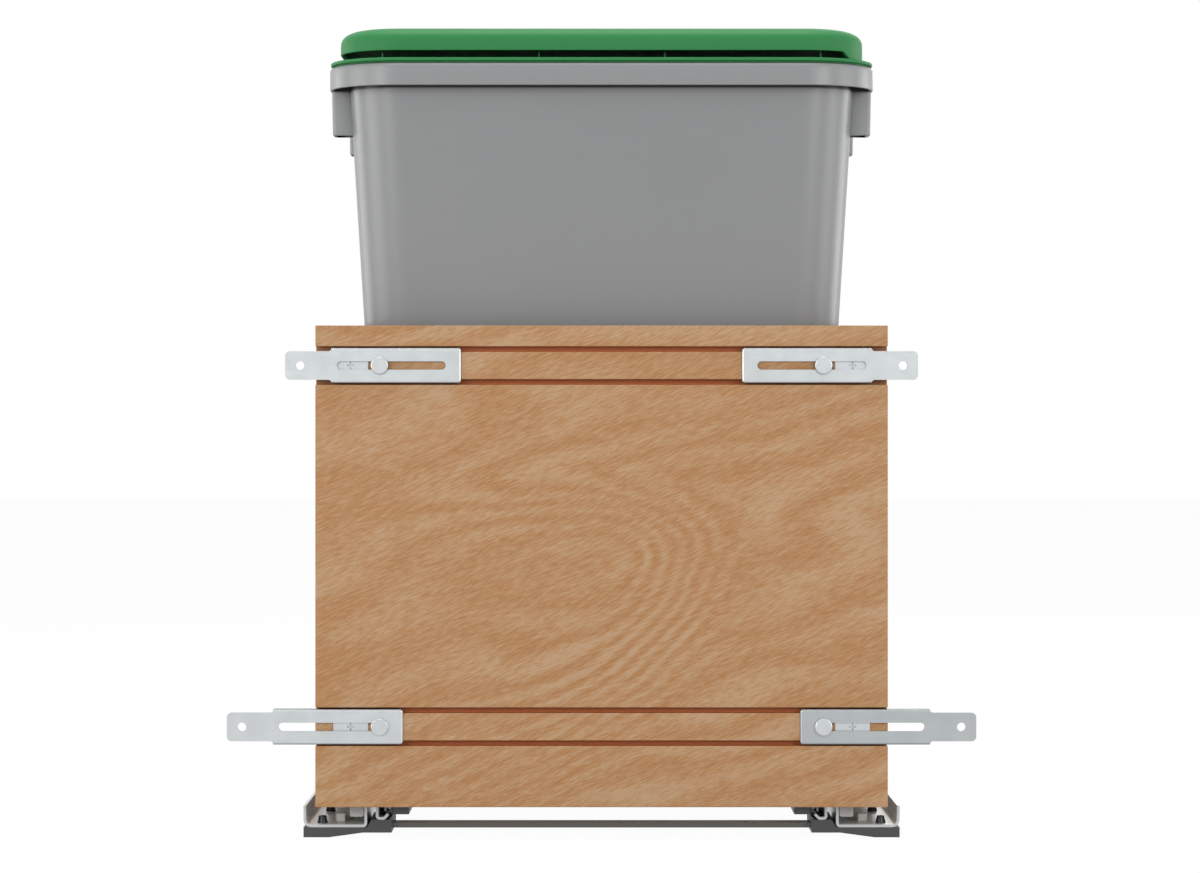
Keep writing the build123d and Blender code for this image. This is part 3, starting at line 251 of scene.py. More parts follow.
def lacquered_wood(name, turn, heart, sawn=None):
    """Flat-sliced light hardwood under satin lacquer: wavy ribbons that close round a heart,
    short pore lines at a slant to the grain, and plainer, darker end grain. The turn brings
    the board's face to X (grain) and Z (across it); sawn is the box of the saw cuts, coloured as
    bare wood with painted shade, darker and warmer than the face."""
    wood = new_material(name)
    place = add(wood, "ShaderNodeTexCoord")
    board = add(wood, "ShaderNodeMapping", {
        "Vector": place.outputs["Object"], "Rotation": turn}, vector_type="TEXTURE")
    grain = add(wood, "ShaderNodeMapping", {
        "Vector": board.outputs[0], "Rotation": (0, RIBBON_TILT, 0)}, vector_type="TEXTURE")
    stretched = add(wood, "ShaderNodeMapping", {
        "Vector": grain.outputs[0], "Scale": RIBBON_DRAWN}, vector_type="TEXTURE")
    drift = add(wood, "ShaderNodeTexNoise", {
        "Vector": stretched.outputs[0], "Scale": 1 / DRIFT_SIZE, "Detail": 3.0,
        "Roughness": 0.45})
    heart_place = add(wood, "ShaderNodeMapping", {
        "Vector": board.outputs[0], "Location": heart, "Rotation": (0, HEART_TILT, 0),
        "Scale": HEART_REACH}, vector_type="TEXTURE")
    heart_reach = add(wood, "ShaderNodeVectorMath", {
        0: heart_place.outputs[0]}, operation="LENGTH")
    heart_side = add(wood, "ShaderNodeVectorMath", {
        0: heart_place.outputs[0], 1: HEART_PULL}, operation="DOT_PRODUCT")
    off_centre = add(wood, "ShaderNodeMath", {
        0: heart_reach.outputs["Value"], 1: heart_side.outputs["Value"]}, operation="ADD")
    hill = add(wood, "ShaderNodeMapRange", {
        "Value": off_centre.outputs[0], "To Min": HEART_TURNS, "To Max": 0.0},
        interpolation_type="SMOOTHSTEP")
    across = add(wood, "ShaderNodeSeparateXYZ", {"Vector": grain.outputs[0]})
    turns = add(wood, "ShaderNodeMath", {
        0: across.outputs["Z"], 1: 1 / RIBBON_PITCH, 2: hill.outputs[0]},
        operation="MULTIPLY_ADD")
    turns = add(wood, "ShaderNodeMath", {
        0: drift.outputs["Fac"], 1: DRIFT_TURNS, 2: turns.outputs[0]}, operation="MULTIPLY_ADD")
    phase = add(wood, "ShaderNodeMath", {0: turns.outputs[0], 1: math.tau}, operation="MULTIPLY")
    ribbons = add(wood, "ShaderNodeMath", {0: phase.outputs[0]}, operation="SINE")
    patches = add(wood, "ShaderNodeTexNoise", {
        "Vector": stretched.outputs[0], "Scale": 1 / PATCH_SIZE, "Detail": 2.0})
    strength = add(wood, "ShaderNodeMapRange", {
        "Value": patches.outputs["Fac"], "From Min": 0.35, "From Max": 0.65,
        "To Min": FIGURE_FAINT, "To Max": FIGURE_CLEAR})
    fleck_place = add(wood, "ShaderNodeMapping", {
        "Vector": board.outputs[0], "Rotation": (0, PORE_TILT, 0),
        "Scale": PORE_DRAWN}, vector_type="TEXTURE")
    flecks = add(wood, "ShaderNodeTexNoise", {
        "Vector": fleck_place.outputs[0], "Scale": 0.5 / FLECK_WIDTH, "Detail": 2.0,
        "Roughness": 0.6})
    streaks = add(wood, "ShaderNodeTexNoise", {
        "Vector": fleck_place.outputs[0], "Scale": 0.5 / STREAK_WIDTH, "Detail": 2.0})
    tone = add(wood, "ShaderNodeMath", {
        0: ribbons.outputs[0], 1: strength.outputs[0], 2: TONE_SHIFT}, operation="MULTIPLY_ADD")
    for texture, share in (
            (patches, PATCH_SHARE), (streaks, STREAK_SHARE), (flecks, FLECK_SHARE)):
        tone = add(wood, "ShaderNodeMath", {
            0: texture.outputs["Fac"], 1: share, 2: tone.outputs[0]}, operation="MULTIPLY_ADD")
    face = add(wood, "ShaderNodeValToRGB", {"Fac": tone.outputs[0]})
    face.color_ramp.elements[0].position = 0.15
    face.color_ramp.elements[0].color = srgb(WOOD_DARK)
    face.color_ramp.elements[1].position = 0.85
    face.color_ramp.elements[1].color = srgb(WOOD_LIGHT)
    middle = face.color_ramp.elements.new(0.5)
    middle.color = srgb(WOOD_MEAN)
    facing = add(wood, "ShaderNodeMapping", {
        "Vector": place.outputs["Normal"], "Rotation": turn}, vector_type="TEXTURE")
    along = add(wood, "ShaderNodeSeparateXYZ", {"Vector": facing.outputs[0]})
    away = add(wood, "ShaderNodeMath", {0: along.outputs["X"]}, operation="ABSOLUTE")
    end = add(wood, "ShaderNodeMapRange", {
        "Value": away.outputs[0], "From Min": 0.6, "From Max": 0.9})
    colour = add(wood, "ShaderNodeMix", {
        0: end.outputs[0], 6: face.outputs["Color"], 7: srgb(WOOD_END)}, data_type="RGBA")
    # the saw cuts take bare wood's colour, darkened and warmed as painted shade of the grooves
    if sawn:
        spot = add(wood, "ShaderNodeSeparateXYZ", {"Vector": place.outputs["Object"]})
        inside = 1.0
        for axis, (low, high) in zip("XYZ", sawn):
            within = add(wood, "ShaderNodeMath", {
                0: spot.outputs[axis], 1: (low + high) / 2, 2: (high - low) / 2},
                operation="COMPARE")
            inside = add(wood, "ShaderNodeMath", {
                0: within.outputs[0], 1: inside}, operation="MULTIPLY").outputs[0]
        colour = add(wood, "ShaderNodeMix", {
            0: inside, 6: colour.outputs[2], 7: srgb(WOOD_CUT_AND_SHADE)}, data_type="RGBA")
    relief = add(wood, "ShaderNodeBump", {
        "Strength": 0.18, "Distance": 0.0002, "Height": flecks.outputs["Fac"]})
    shader = add(wood, "ShaderNodeBsdfPrincipled", {
        "Base Color": colour.outputs[2], "Normal": relief.outputs[0], "Roughness": 0.5,
        "IOR": 1.5, "Specular IOR Level": 0.35})
    return finish_material(wood, shader)


panel_low, panel_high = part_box("front_panel")
saw_cuts = (
    (panel_low[0] + SAWN_ENDS, panel_high[0] - SAWN_ENDS),
    (PANEL_FRONT + SAWN_FROM, PANEL_FRONT + SAWN_TO),
    (panel_low[2] + SAWN_EDGES, panel_high[2] - SAWN_EDGES))
front_wood = lacquered_wood(
    "lacquered_hardwood_front_panel", turn=(0, 0, 0), heart=(0.004, PANEL_FRONT, 0.172),
    sawn=saw_cuts)
cross_wood = lacquered_wood(
    "lacquered_hardwood_grain_across", turn=(0, 0, 0), heart=(-0.03, 0.2, 0.13))
side_wood = lacquered_wood(
    "lacquered_hardwood_grain_front_to_back", turn=(0, 0, math.radians(90)),
    heart=(0.05, 0.0, 0.15))
flat_wood = lacquered_wood(
    "lacquered_hardwood_lying_board", turn=(math.radians(90), 0, 0), heart=(0.02, 0.1, 0.03))

for node, board_name, wood in (
        ("front_panel", "front_panel_board", front_wood),
        ("back_panel", "back_panel_board", cross_wood),
        ("bin_divider", "bin_divider_board", cross_wood),
        ("left_side_panel", "left_side_board", side_wood),
        ("right_side_panel", "right_side_board", side_wood),
        ("bottom_panel", "bottom_board", flat_wood)):
    eased_copy(node, board_name, BOARD_EASE, wood, "box")


# ---- steel parts ----------------------------------------------------------------
# Door brackets, runner rails and their small fittings are pressed from cold-rolled
# strip and bright zinc plated: light, satin, with faint clouds where the plating pools.

CLOUD = 0.012              # size of a cloud in the plating
DRAW_LINE = 0.0004         # drawing lines of the strip, coarse enough to show
ZINC_LIGHT = "C4C8C9"
ZINC_DARK = "B0B4B6"
ZINC_FOLD_SHADE = "7E8182"       # painted shade on the faces of the lengthways folds
ZINC_CUT = "BEC1C2"        # and where it is sheared off
DARKER_ZINC_LIGHT = "A9ADAE"      # the one bracket that is darker all over
DARKER_ZINC_DARK = "9CA0A2"
RAIL_LIGHT = "E2E5E5"
RAIL_DARK = "D3D7D7"
BRACKET_DRAWN = (12, 1, 1)  # length of the drawing lines in their own widths, along X, Y, Z
FITTING_DRAWN = (3, 1, 1)
RAIL_DRAWN = (1, 14, 1)


def zinc_plate(name, roughness, stretch, light=ZINC_LIGHT, dark=ZINC_DARK, bare_ends_and_fold_shade=None, metal=1.0):
    """Bright zinc on strip steel: clouds of two near greys and lines along the strip; an axis
    with a colour gives that colour to the faces that look along the axis, bare steel on sheared
    ends and painted shade on lengthways folds."""
    zinc = new_material(name)
    place = add(zinc, "ShaderNodeTexCoord")
    clouds = add(zinc, "ShaderNodeTexNoise", {
        "Vector": place.outputs["Object"], "Scale": 1 / CLOUD, "Detail": 3.0})
    strip = add(zinc, "ShaderNodeMapping", {
        "Vector": place.outputs["Object"], "Scale": stretch}, vector_type="TEXTURE")
    lines = add(zinc, "ShaderNodeTexNoise", {
        "Vector": strip.outputs[0], "Scale": 0.5 / DRAW_LINE, "Detail": 2.0})
    colour = add(zinc, "ShaderNodeMix", {
        0: clouds.outputs["Fac"], 6: srgb(dark), 7: srgb(light)}, data_type="RGBA")
    # faces along the axis take its colour: painted shade on a bracket's folds, bare steel on a
    # rail's sheared ends
    if bare_ends_and_fold_shade:
        turned = add(zinc, "ShaderNodeSeparateXYZ", {"Vector": place.outputs["Normal"]})
        facing = add(zinc, "ShaderNodeMath", {0: turned.outputs[bare_ends_and_fold_shade[0]]}, operation="ABSOLUTE")
        share = add(zinc, "ShaderNodeMapRange", {
            "Value": facing.outputs[0], "From Min": 0.3, "From Max": 0.7})
        colour = add(zinc, "ShaderNodeMix", {
            0: share.outputs[0], 6: colour.outputs[2], 7: srgb(bare_ends_and_fold_shade[1])}, data_type="RGBA")
    gloss = add(zinc, "ShaderNodeMapRange", {
        "Value": lines.outputs["Fac"], "To Min": roughness - 0.06, "To Max": roughness + 0.08})
    relief = add(zinc, "ShaderNodeBump", {
        "Strength": 0.04, "Distance": 0.0001, "Height": lines.outputs["Fac"]})
    shader = add(zinc, "ShaderNodeBsdfPrincipled", {
        "Base Color": colour.outputs[2], "Roughness": gloss.outputs[0],
        "Normal": relief.outputs[0], "Metallic": metal})
    return finish_material(zinc, shader)


# the brackets' folds, the faces that look up and down, carry painted shade
bracket_zinc = zinc_plate(
    "bright_zinc_folded_bracket", 0.38, BRACKET_DRAWN, bare_ends_and_fold_shade=("Z", ZINC_FOLD_SHADE))
darker_zinc = zinc_plate(
    "duller_zinc_folded_bracket", 0.42, BRACKET_DRAWN, DARKER_ZINC_LIGHT, DARKER_ZINC_DARK,
    bare_ends_and_fold_shade=("Z", ZINC_FOLD_SHADE))
fitting_zinc = zinc_plate("bright_zinc_pressed_fitting", 0.38, FITTING_DRAWN)
rail_zinc = zinc_plate(
    "bright_zinc_rolled_rail", 0.34, RAIL_DRAWN, RAIL_LIGHT, RAIL_DARK,
    bare_ends_and_fold_shade=("Y", ZINC_CUT), metal=0.4)

for side in ("left", "right"):
    finish_as(bracket_zinc, f"upper_{side}_door_bracket")
    finish_as(rail_zinc, f"{side}_cabinet_rail", f"{side}_middle_rail", f"{side}_box_rail",
              f"{side}_soft_close_striker", f"{side}_lower_rollers", f"{side}_upper_rollers")
finish_as(bracket_zinc, "lower_left_door_bracket")
finish_as(darker_zinc, "lower_right_door_bracket")
finish_as(fitting_zinc, "bracket_insert_plates", "insert_plate_screws", "bracket_clamp_screws",
          "clamp_insert_nuts", "clip_screws")


# ---- small plastic fittings and floor fittings ----------------------------------
# Feet, clips and cages are injection moulded with a fine spark-eroded grain; the tie
# bars are strip under a dark half-gloss coat and the foot screws are black oxidised
# steel, a little glossier than the plastic.

MOULD_GRAIN = 0.0005       # pit size of the mould's texture, coarse enough to show
FLOW_SIZE = 0.0714         # clouds where the plastic flowed into the mould
MOULD_EASE = 0.0004
END_CAP_EASE = 0.0003
# near-black painted shade for a channel's inside and for tight corners
HOLLOW_PAINTED_SHADE = "0A0A0B"
HOLLOW_SHADE_FADE = 0.0012       # height below a channel's mouth over which its painted shade fades out


def moulded(name, code, roughness, grain=MOULD_GRAIN, depth=0.12, vary=0.06, shine=0.5,
            hollow=None):
    """Injection-moulded plastic: nearly even colour, fine pits, soft wide highlights; hollow is
    the width of a channel and the height of its mouth, and with it painted shade turns the
    channel near-black above the mouth and darkens tight corners."""
    plastic = new_material(name)
    place = add(plastic, "ShaderNodeTexCoord")
    pits = add(plastic, "ShaderNodeTexNoise", {
        "Vector": place.outputs["Object"], "Scale": 0.5 / grain, "Detail": 2.0})
    flow = add(plastic, "ShaderNodeTexNoise", {
        "Vector": place.outputs["Object"], "Scale": 1 / FLOW_SIZE, "Detail": 2.0})
    base = Vector(srgb(code)[:3])
    colour = add(plastic, "ShaderNodeMix", {
        0: flow.outputs["Fac"], 6: [*(base * (1 - vary)), 1], 7: [*(base * (1 + vary)), 1]},
        data_type="RGBA")
    # painted shade: ambient occlusion turns the colour near-black in the channel above its mouth
    # and darker in tight corners, in place of the shadow there
    if hollow:
        width, mouth = hollow
        sky = add(plastic, "ShaderNodeAmbientOcclusion", {
            "Distance": width}, samples=16, only_local=True)
        corner = add(plastic, "ShaderNodeMapRange", {
            "Value": sky.outputs["AO"], "From Min": 0.32, "From Max": 0.66})
        channel = add(plastic, "ShaderNodeMapRange", {
            "Value": sky.outputs["AO"], "From Min": 0.7, "From Max": 0.9})
        level = add(plastic, "ShaderNodeSeparateXYZ", {"Vector": place.outputs["Object"]})
        below = add(plastic, "ShaderNodeMapRange", {
            "Value": level.outputs["Z"], "From Min": mouth - HOLLOW_SHADE_FADE, "From Max": mouth,
            "To Min": 1.0, "To Max": 0.0})
        clear = add(plastic, "ShaderNodeMath", {
            0: channel.outputs[0], 1: below.outputs[0]}, operation="MAXIMUM")
        share = add(plastic, "ShaderNodeMath", {
            0: corner.outputs[0], 1: clear.outputs[0]}, operation="MULTIPLY")
        colour = add(plastic, "ShaderNodeMix", {
            0: share.outputs[0], 6: srgb(HOLLOW_PAINTED_SHADE), 7: colour.outputs[2]}, data_type="RGBA")
    gloss = add(plastic, "ShaderNodeMapRange", {
        "Value": flow.outputs["Fac"], "To Min": roughness - 0.04, "To Max": roughness + 0.04})
    relief = add(plastic, "ShaderNodeBump", {
        "Strength": depth, "Distance": 0.0001, "Height": pits.outputs["Fac"]})
    shader = add(plastic, "ShaderNodeBsdfPrincipled", {
        "Base Color": colour.outputs[2], "Roughness": gloss.outputs[0],
        "Normal": relief.outputs[0], "IOR": 1.49, "Specular IOR Level": shine})
    return finish_material(plastic, shader)


foot_plastic = moulded("dark_grey_nylon_foot", "3E403F", 0.55)
clip_plastic = moulded("dark_grey_acetal_clip", "565656", 0.5)
white_plastic = moulded("natural_white_nylon_stop", "E4E4DF", 0.45)
grey_plastic = moulded("light_grey_acetal_housing", "B8BABB", 0.45)
bar_coat = moulded("dark_powder_coated_strip", "5C5956", 0.24, grain=0.0008, depth=0.05)
black_oxide = moulded("black_oxide_screw", "16181A", 0.35, grain=0.0006, depth=0.1)

for side in ("left", "right"):
    finish_as(foot_plastic, f"{side}_front_foot", f"{side}_rear_foot")
    finish_as(clip_plastic, f"{side}_locking_clip", f"{side}_release_lever")
    finish_as(grey_plastic, f"{side}_lower_roller_cage", f"{side}_upper_roller_cage")
    eased_copy(f"{side}_rail_bumper", f"{side}_white_stop", MOULD_EASE, white_plastic,
               "root")
    eased_copy(f"{side}_soft_close_housing", f"{side}_damper_case", MOULD_EASE, grey_plastic,
               "box")
    eased_copy(f"{side}_middle_end_cap", f"{side}_channel_end_cap", END_CAP_EASE, grey_plastic,
               f"{side}_middle")
finish_as(bar_coat, "front_tie_bar", "rear_tie_bar")
finish_as(black_oxide, "foot_screws")


# ---- bins -----------------------------------------------------------------------
# Two tapered bins, injection moulded in silver grey polypropylene. Each has a turned
# over rim, two hollow lugs under each end of it, to lift by, and a softly rounded
# bottom. A bin is modelled as its inner skin; the wall is laid on outside it.

BIN_SHELL = 0.0024
RIM_BAND = 0.0145
RIM_REACH = 0.0120         # the rim stands this far outside the wall
RIM_ROUND = 0.0026
MOUTH_ROUND = 0.0016
BIN_CORNER = 0.046
BIN_LEAN = 0.059           # each side, per metre of height
BIN_FOOT_ROUND = 0.009
LUG_HALF = 0.010
LUG_DEPTH = 0.0286         # below the rim band
LUG_INSET = 0.001
LUG_CORNER = 0.0022
LUG_DRAFT = 0.02           # the lug's outer face leans in this much per metre downwards
LUG_OFFSET = 0.07975       # middle of a bin to the middle of a lug
LUG_STOCK = 0.06           # length of the block that a lug is cut from
LIP_EASE = 0.0005
LIP_FROM = math.radians(50)
RIM_HOLLOW = 0.016
CUT_CLOSE = 0.000001       # corners this close to a cut are on it

bin_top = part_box("front_bin")[1][2]
# the bins' colour carries painted shade: near-black inside the rim's channel, darker round the
# lugs and in other tight corners
bin_plastic = moulded(
    "silver_grey_polypropylene", "858687", 0.34, grain=0.0006, depth=0.08, vary=0.015,
    hollow=(RIM_HOLLOW, bin_top - RIM_BAND))


def rounded_face(shape, width, depth, corner, z, segments=12):
    """A flat face with rounded corners round the middle; gives the face."""
    made = bmesh.ops.create_grid(
        shape, x_segments=1, y_segments=1, size=0.5,
        matrix=Matrix.Translation((0, 0, z)) @ Matrix.Diagonal((width, depth, 1, 1)))
    rounded = bmesh.ops.bevel(
        shape, geom=made["verts"], offset=corner, offset_type="OFFSET", segments=segments,
        profile=0.5, affect="VERTICES", material=-1)
    return rounded["verts"][0].link_faces[0]


def skirt_down(shape, edges, depth):
    """Pulls edges down into a wall; gives the new lower vertices."""
    wall = bmesh.ops.extrude_edge_only(shape, edges=edges)["geom"]
    lower = [g for g in wall if isinstance(g, bmesh.types.BMVert)]
    bmesh.ops.translate(shape, verts=lower, vec=(0, 0, -depth))
    return lower


def edges_between(verts):
    """The edges whose two ends are both among some vertices."""
    chosen = set(verts)
    return list({e for v in chosen for e in v.link_edges if set(e.verts) <= chosen})


def round_off(shape, edges, width, segments):
    """Rounds edges to a width."""
    bmesh.ops.bevel(
        shape, geom=edges, offset=width, offset_type="OFFSET", segments=segments,
        profile=0.5, affect="EDGES", clamp_overlap=False, material=-1)


def turn_up(shape):
    """Turns all faces the way that makes the highest one look up."""
    bmesh.ops.recalc_face_normals(shape, faces=shape.faces)
    shape.normal_update()
    highest = max(
        shape.faces, key=lambda f: (round(f.calc_center_median().z, 5), abs(f.normal.z)))
    if highest.normal.z < 0:
        bmesh.ops.reverse_faces(shape, faces=shape.faces)


def lug_skin(shape, width, height, side, offset):
    """The outer skin of one lug: three walls under the rim, cut off along the bin's wall."""
    part = bmesh.new()
    outer = width / 2 - LUG_INSET
    top = height - BIN_SHELL
    under = height - RIM_BAND - LUG_DEPTH
    middle = outer - LUG_STOCK / 2
    face = rounded_face(part, LUG_STOCK, 2 * LUG_HALF, LUG_CORNER, top, segments=4)
    lower = skirt_down(part, list(face.edges), top - under)
    bmesh.ops.delete(part, geom=[face], context="FACES")
    bmesh.ops.translate(part, verts=part.verts, vec=(middle, offset, 0))
    bmesh.ops.translate(part, verts=lower, vec=(-LUG_DRAFT * (top - under), 0, 0))
    wall_top = width / 2 - RIM_REACH - BIN_SHELL / 2
    bmesh.ops.bisect_plane(
        part, geom=part.verts[:] + part.edges[:] + part.faces[:], dist=CUT_CLOSE,
        plane_co=(wall_top, 0, height), plane_no=(1, 0, -BIN_LEAN), clear_inner=True)
    part.normal_update()
    core = Vector((middle, offset, top))
    inward = [f for f in part.faces if f.normal.dot(f.calc_center_median() - core) < 0]
    bmesh.ops.reverse_faces(part, faces=inward)
    if side < 0:
        bmesh.ops.scale(part, verts=part.verts, vec=(-1, 1, 1))
        bmesh.ops.reverse_faces(part, faces=part.faces)
    held = bpy.data.meshes.new("lug_skin")
    part.to_mesh(held)
    part.free()
    shape.from_mesh(held)
    bpy.data.meshes.remove(held)


def bin_skin(width, depth, height):
    """The inner skin of a bin, from the floor over the mouth and round the rim."""
    shape = bmesh.new()
    top = rounded_face(shape, width, depth, BIN_CORNER, height)
    outline = list(top.verts)
    turned = RIM_REACH + BIN_SHELL
    bmesh.ops.inset_region(
        shape, faces=[top], thickness=turned, use_boundary=True, use_even_offset=True)
    mouth = list(top.verts)
    deep = bmesh.ops.extrude_face_region(shape, geom=[top])["geom"]
    bmesh.ops.delete(shape, geom=[top], context="FACES_ONLY")
    floor_verts = [g for g in deep if isinstance(g, bmesh.types.BMVert)]
    drop = height - BIN_SHELL
    narrow = 2 * (turned + BIN_LEAN * drop)
    bmesh.ops.scale(
        shape, verts=floor_verts,
        vec=((width - narrow) / (width - 2 * turned), (depth - narrow) / (depth - 2 * turned), 1))
    bmesh.ops.translate(shape, verts=floor_verts, vec=(0, 0, -drop))
    skirt_down(shape, edges_between(outline), RIM_BAND)
    round_off(shape, edges_between(floor_verts), BIN_FOOT_ROUND, segments=5)
    round_off(shape, edges_between(mouth), MOUTH_ROUND, segments=3)
    round_off(shape, edges_between(outline), RIM_ROUND, segments=4)
    turn_up(shape)
    return shape


def add_wall(made, thickness, ease):
    """Lays the wall behind a skin and rounds the wall's lips."""
    wall = made.modifiers.new("wall", "SOLIDIFY")
    wall.thickness = thickness
    wall.offset = -1
    wall.use_even_offset = True
    lip = made.modifiers.new("rounded_lips", "BEVEL")
    lip.width = ease
    lip.segments = 2
    lip.limit_method = "ANGLE"
    lip.angle_limit = LIP_FROM
    lip.use_clamp_overlap = False
    lip.harden_normals = True


def bin_shell(node):
    """A whole bin in the place of its CAD node."""
    low, high = (Vector(corner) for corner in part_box(node))
    size = high - low
    shape = bin_skin(size.x, size.y, size.z)
    for side in (-1, 1):
        for offset in (-LUG_OFFSET, LUG_OFFSET):
            lug_skin(shape, size.x, size.z, side, offset)
    bmesh.ops.translate(
        shape, verts=shape.verts, vec=((low.x + high.x) / 2, (low.y + high.y) / 2, low.z))
    skin = piece(shape, f"{node}_shell", bin_plastic, node, node)
    add_wall(skin, BIN_SHELL, LIP_EASE)


bin_shell("front_bin")
bin_shell("rear_bin")


# ---- lid ------------------------------------------------------------------------
# Green polypropylene lid in two mouldings: a flat ring that sits on the front bin's rim
# and a softly crowned cap that turns up on two steel pins at the right-hand end.

LID_WALL = 0.0022
LID_EASE = 0.0004
EASED_FROM = math.radians(60)
SUNK = 0.001               # how far a rib or wall runs into the flange it stands on
RING_SEAT = 0.001          # the flange lies this far above the bin's rim
RING_EDGE = 0.0022         # thickness of the ring's flange
RING_OPENING = 0.0335      # ring's edge to its opening
RING_ROUND = 0.0008
RING_CORNER = 0.0455
SKIRT_INSET = 0.0149       # ring's edge to the skirt inside the bin
SKIRT_DEPTH = 0.0130
COLLAR_INSET = 0.0185
COLLAR_HEIGHT = 0.0016
BEAD_INSET = 0.0025        # a low bead under the flange, just inside its edge
BEAD_DEPTH = 0.0007
CAP_CORNER = 0.039
CROWN_RUN = 0.018          # width of the crown's curve, seen from above
CROWN_RISE = 0.0100
CROWN_STEPS = 10
CROWN_POWER = 2.5
HINGE_SKIRT = 0.014        # stretch of the hinge end where the cap reaches down to the ring
SKIRT_SLANT = 0.004        # its front end slopes over this length
SKIRT_PLAY = 0.001         # it stops this far above the ring
FINGER_GAP = 0.0052
KNUCKLE_R = 0.0022
PIN_R = 0.0011
EAR_WIDTH = 0.008          # the ring's knuckle
KNUCKLE_WIDTH = 0.007      # the cap's, one at each end of an ear
HINGE_SIDE = 0.058         # middle of the lid to the middle of an ear
HINGE_PLAY = 0.0004
EAR_EASE = 0.0002
PIN_EASE = 0.0002
STOP_PLACES = (-0.4, -0.114, 0.116, 0.4)   # along the ring, in shares of its width
STOP_WIDTH = 0.0010
STOP_REACH = 0.0028
STOP_PLAY = 0.0003
STOP_EASE = 0.0003

lid_plastic = moulded(
    "green_polypropylene", "357D49", 0.46, grain=0.0006, depth=0.06, vary=0.03, shine=0.12)


def wall_ring(shape, width, depth, corner, wall, low, high, ease):
    """A closed upright wall that follows a rounded outline, eased along its sharp edges."""
    before = set(shape.faces)
    face = rounded_face(shape, width, depth, corner, high)
    bmesh.ops.inset_region(
        shape, faces=[face], thickness=wall, use_boundary=True, use_even_offset=True)
    bmesh.ops.delete(shape, geom=[face], context="FACES_ONLY")
    top = [f for f in shape.faces if f not in before]
    deep = bmesh.ops.extrude_face_region(shape, geom=top, use_keep_orig=True)["geom"]
    foot = [g for g in deep if isinstance(g, bmesh.types.BMVert)]
    bmesh.ops.translate(shape, verts=foot, vec=(0, 0, low - high))
    made = [f for f in shape.faces if f not in before]
    bmesh.ops.recalc_face_normals(shape, faces=made)
    if ease:
        made_edges = {e for f in made for e in f.edges}
        sharp = [e for e in made_edges if e.calc_face_angle(0) > EASED_FROM]
        round_off(shape, sharp, ease, segments=2)


def hinge_barrel(shape, x, y, z, length):
    """A knuckle with its bore, lying along the hinge line from y."""
    before = set(shape.verts)
    circle = bmesh.ops.create_circle(
        shape, cap_ends=True, radius=KNUCKLE_R, segments=24,
        matrix=Matrix.Translation((x, y, z)) @ Matrix.Rotation(math.radians(90), 4, "X"))
    face = circle["verts"][0].link_faces[0]
    bmesh.ops.inset_region(
        shape, faces=[face], thickness=KNUCKLE_R - PIN_R, use_boundary=True, use_even_offset=True)
    bmesh.ops.delete(shape, geom=[face], context="FACES_ONLY")
    end = [f for f in shape.faces if not (set(f.verts) & before)]
    deep = bmesh.ops.extrude_face_region(shape, geom=end, use_keep_orig=True)["geom"]
    far_end = [g for g in deep if isinstance(g, bmesh.types.BMVert)]
    bmesh.ops.translate(shape, verts=far_end, vec=(0, length, 0))
    made = [f for f in shape.faces if not (set(f.verts) & before)]
    bmesh.ops.recalc_face_normals(shape, faces=made)


def score(shape, place, facing):
    """Cuts all faces where they cross a plane, and keeps both sides."""
    bmesh.ops.bisect_plane(
        shape, geom=shape.verts[:] + shape.edges[:] + shape.faces[:], dist=CUT_CLOSE,
        plane_co=place, plane_no=facing)


def small_block(shape, low, high, ease):
    """A small moulded rib or lug with rounded edges."""
    size = Vector(high) - Vector(low)
    middle = (Vector(high) + Vector(low)) / 2
    made = bmesh.ops.create_cube(
        shape, size=1.0, matrix=Matrix.Translation(middle) @ Matrix.Diagonal((*size, 1)))
    round_off(shape, edges_between(made["verts"]), ease, segments=2)


ring_low, ring_high = (Vector(corner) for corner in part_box("lid_ring"))
cap_low, cap_high = (Vector(corner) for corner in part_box("lid_cap"))
pin_low, pin_high = (Vector(corner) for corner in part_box("lid_hinge_pins"))
lid_y = (ring_low.y + ring_high.y) / 2
flange_low = bin_top + RING_SEAT
flange_high = flange_low + RING_EDGE
cap_edge = flange_high + FINGER_GAP
hinge_x = (pin_low.x + pin_high.x) / 2
hinge_z = (pin_low.z + pin_high.z) / 2

ring = bmesh.new()
ring_size = ring_high - ring_low
for inset, wall, low, high, ease in (
        (0.0, RING_OPENING, flange_low, flange_high, RING_ROUND),
        (SKIRT_INSET, LID_WALL, flange_low - SKIRT_DEPTH, flange_low + SUNK, LID_EASE),
        (COLLAR_INSET, LID_WALL, flange_high - SUNK, flange_high + COLLAR_HEIGHT, LID_EASE),
        (BEAD_INSET, LID_WALL, flange_low - BEAD_DEPTH, flange_low + SUNK, 0.0)):
    wall_ring(ring, ring_size.x - 2 * inset, ring_size.y - 2 * inset, RING_CORNER - inset,
              wall, low, high, ease)
for share in STOP_PLACES:
    for side in (-1, 1):
        x = share * ring_size.x
        inner = ring_size.y / 2 - COLLAR_INSET - SUNK
        near, far = sorted((side * inner, side * (inner + STOP_REACH)))
        small_block(ring, (x - STOP_WIDTH / 2, near, flange_high - SUNK),
                    (x + STOP_WIDTH / 2, far, cap_edge - STOP_PLAY), STOP_EASE)
for side in (-1, 1):
    y = side * HINGE_SIDE - EAR_WIDTH / 2
    hinge_barrel(ring, hinge_x, y, hinge_z, EAR_WIDTH)
    small_block(ring, (hinge_x - KNUCKLE_R, y, flange_high - SUNK),
                (hinge_x + KNUCKLE_R, y + EAR_WIDTH, hinge_z - PIN_R), EAR_EASE)
bmesh.ops.translate(ring, verts=ring.verts, vec=(0, lid_y, 0))
piece(ring, "lid_ring_moulding", lid_plastic, "lid", "lid_ring")

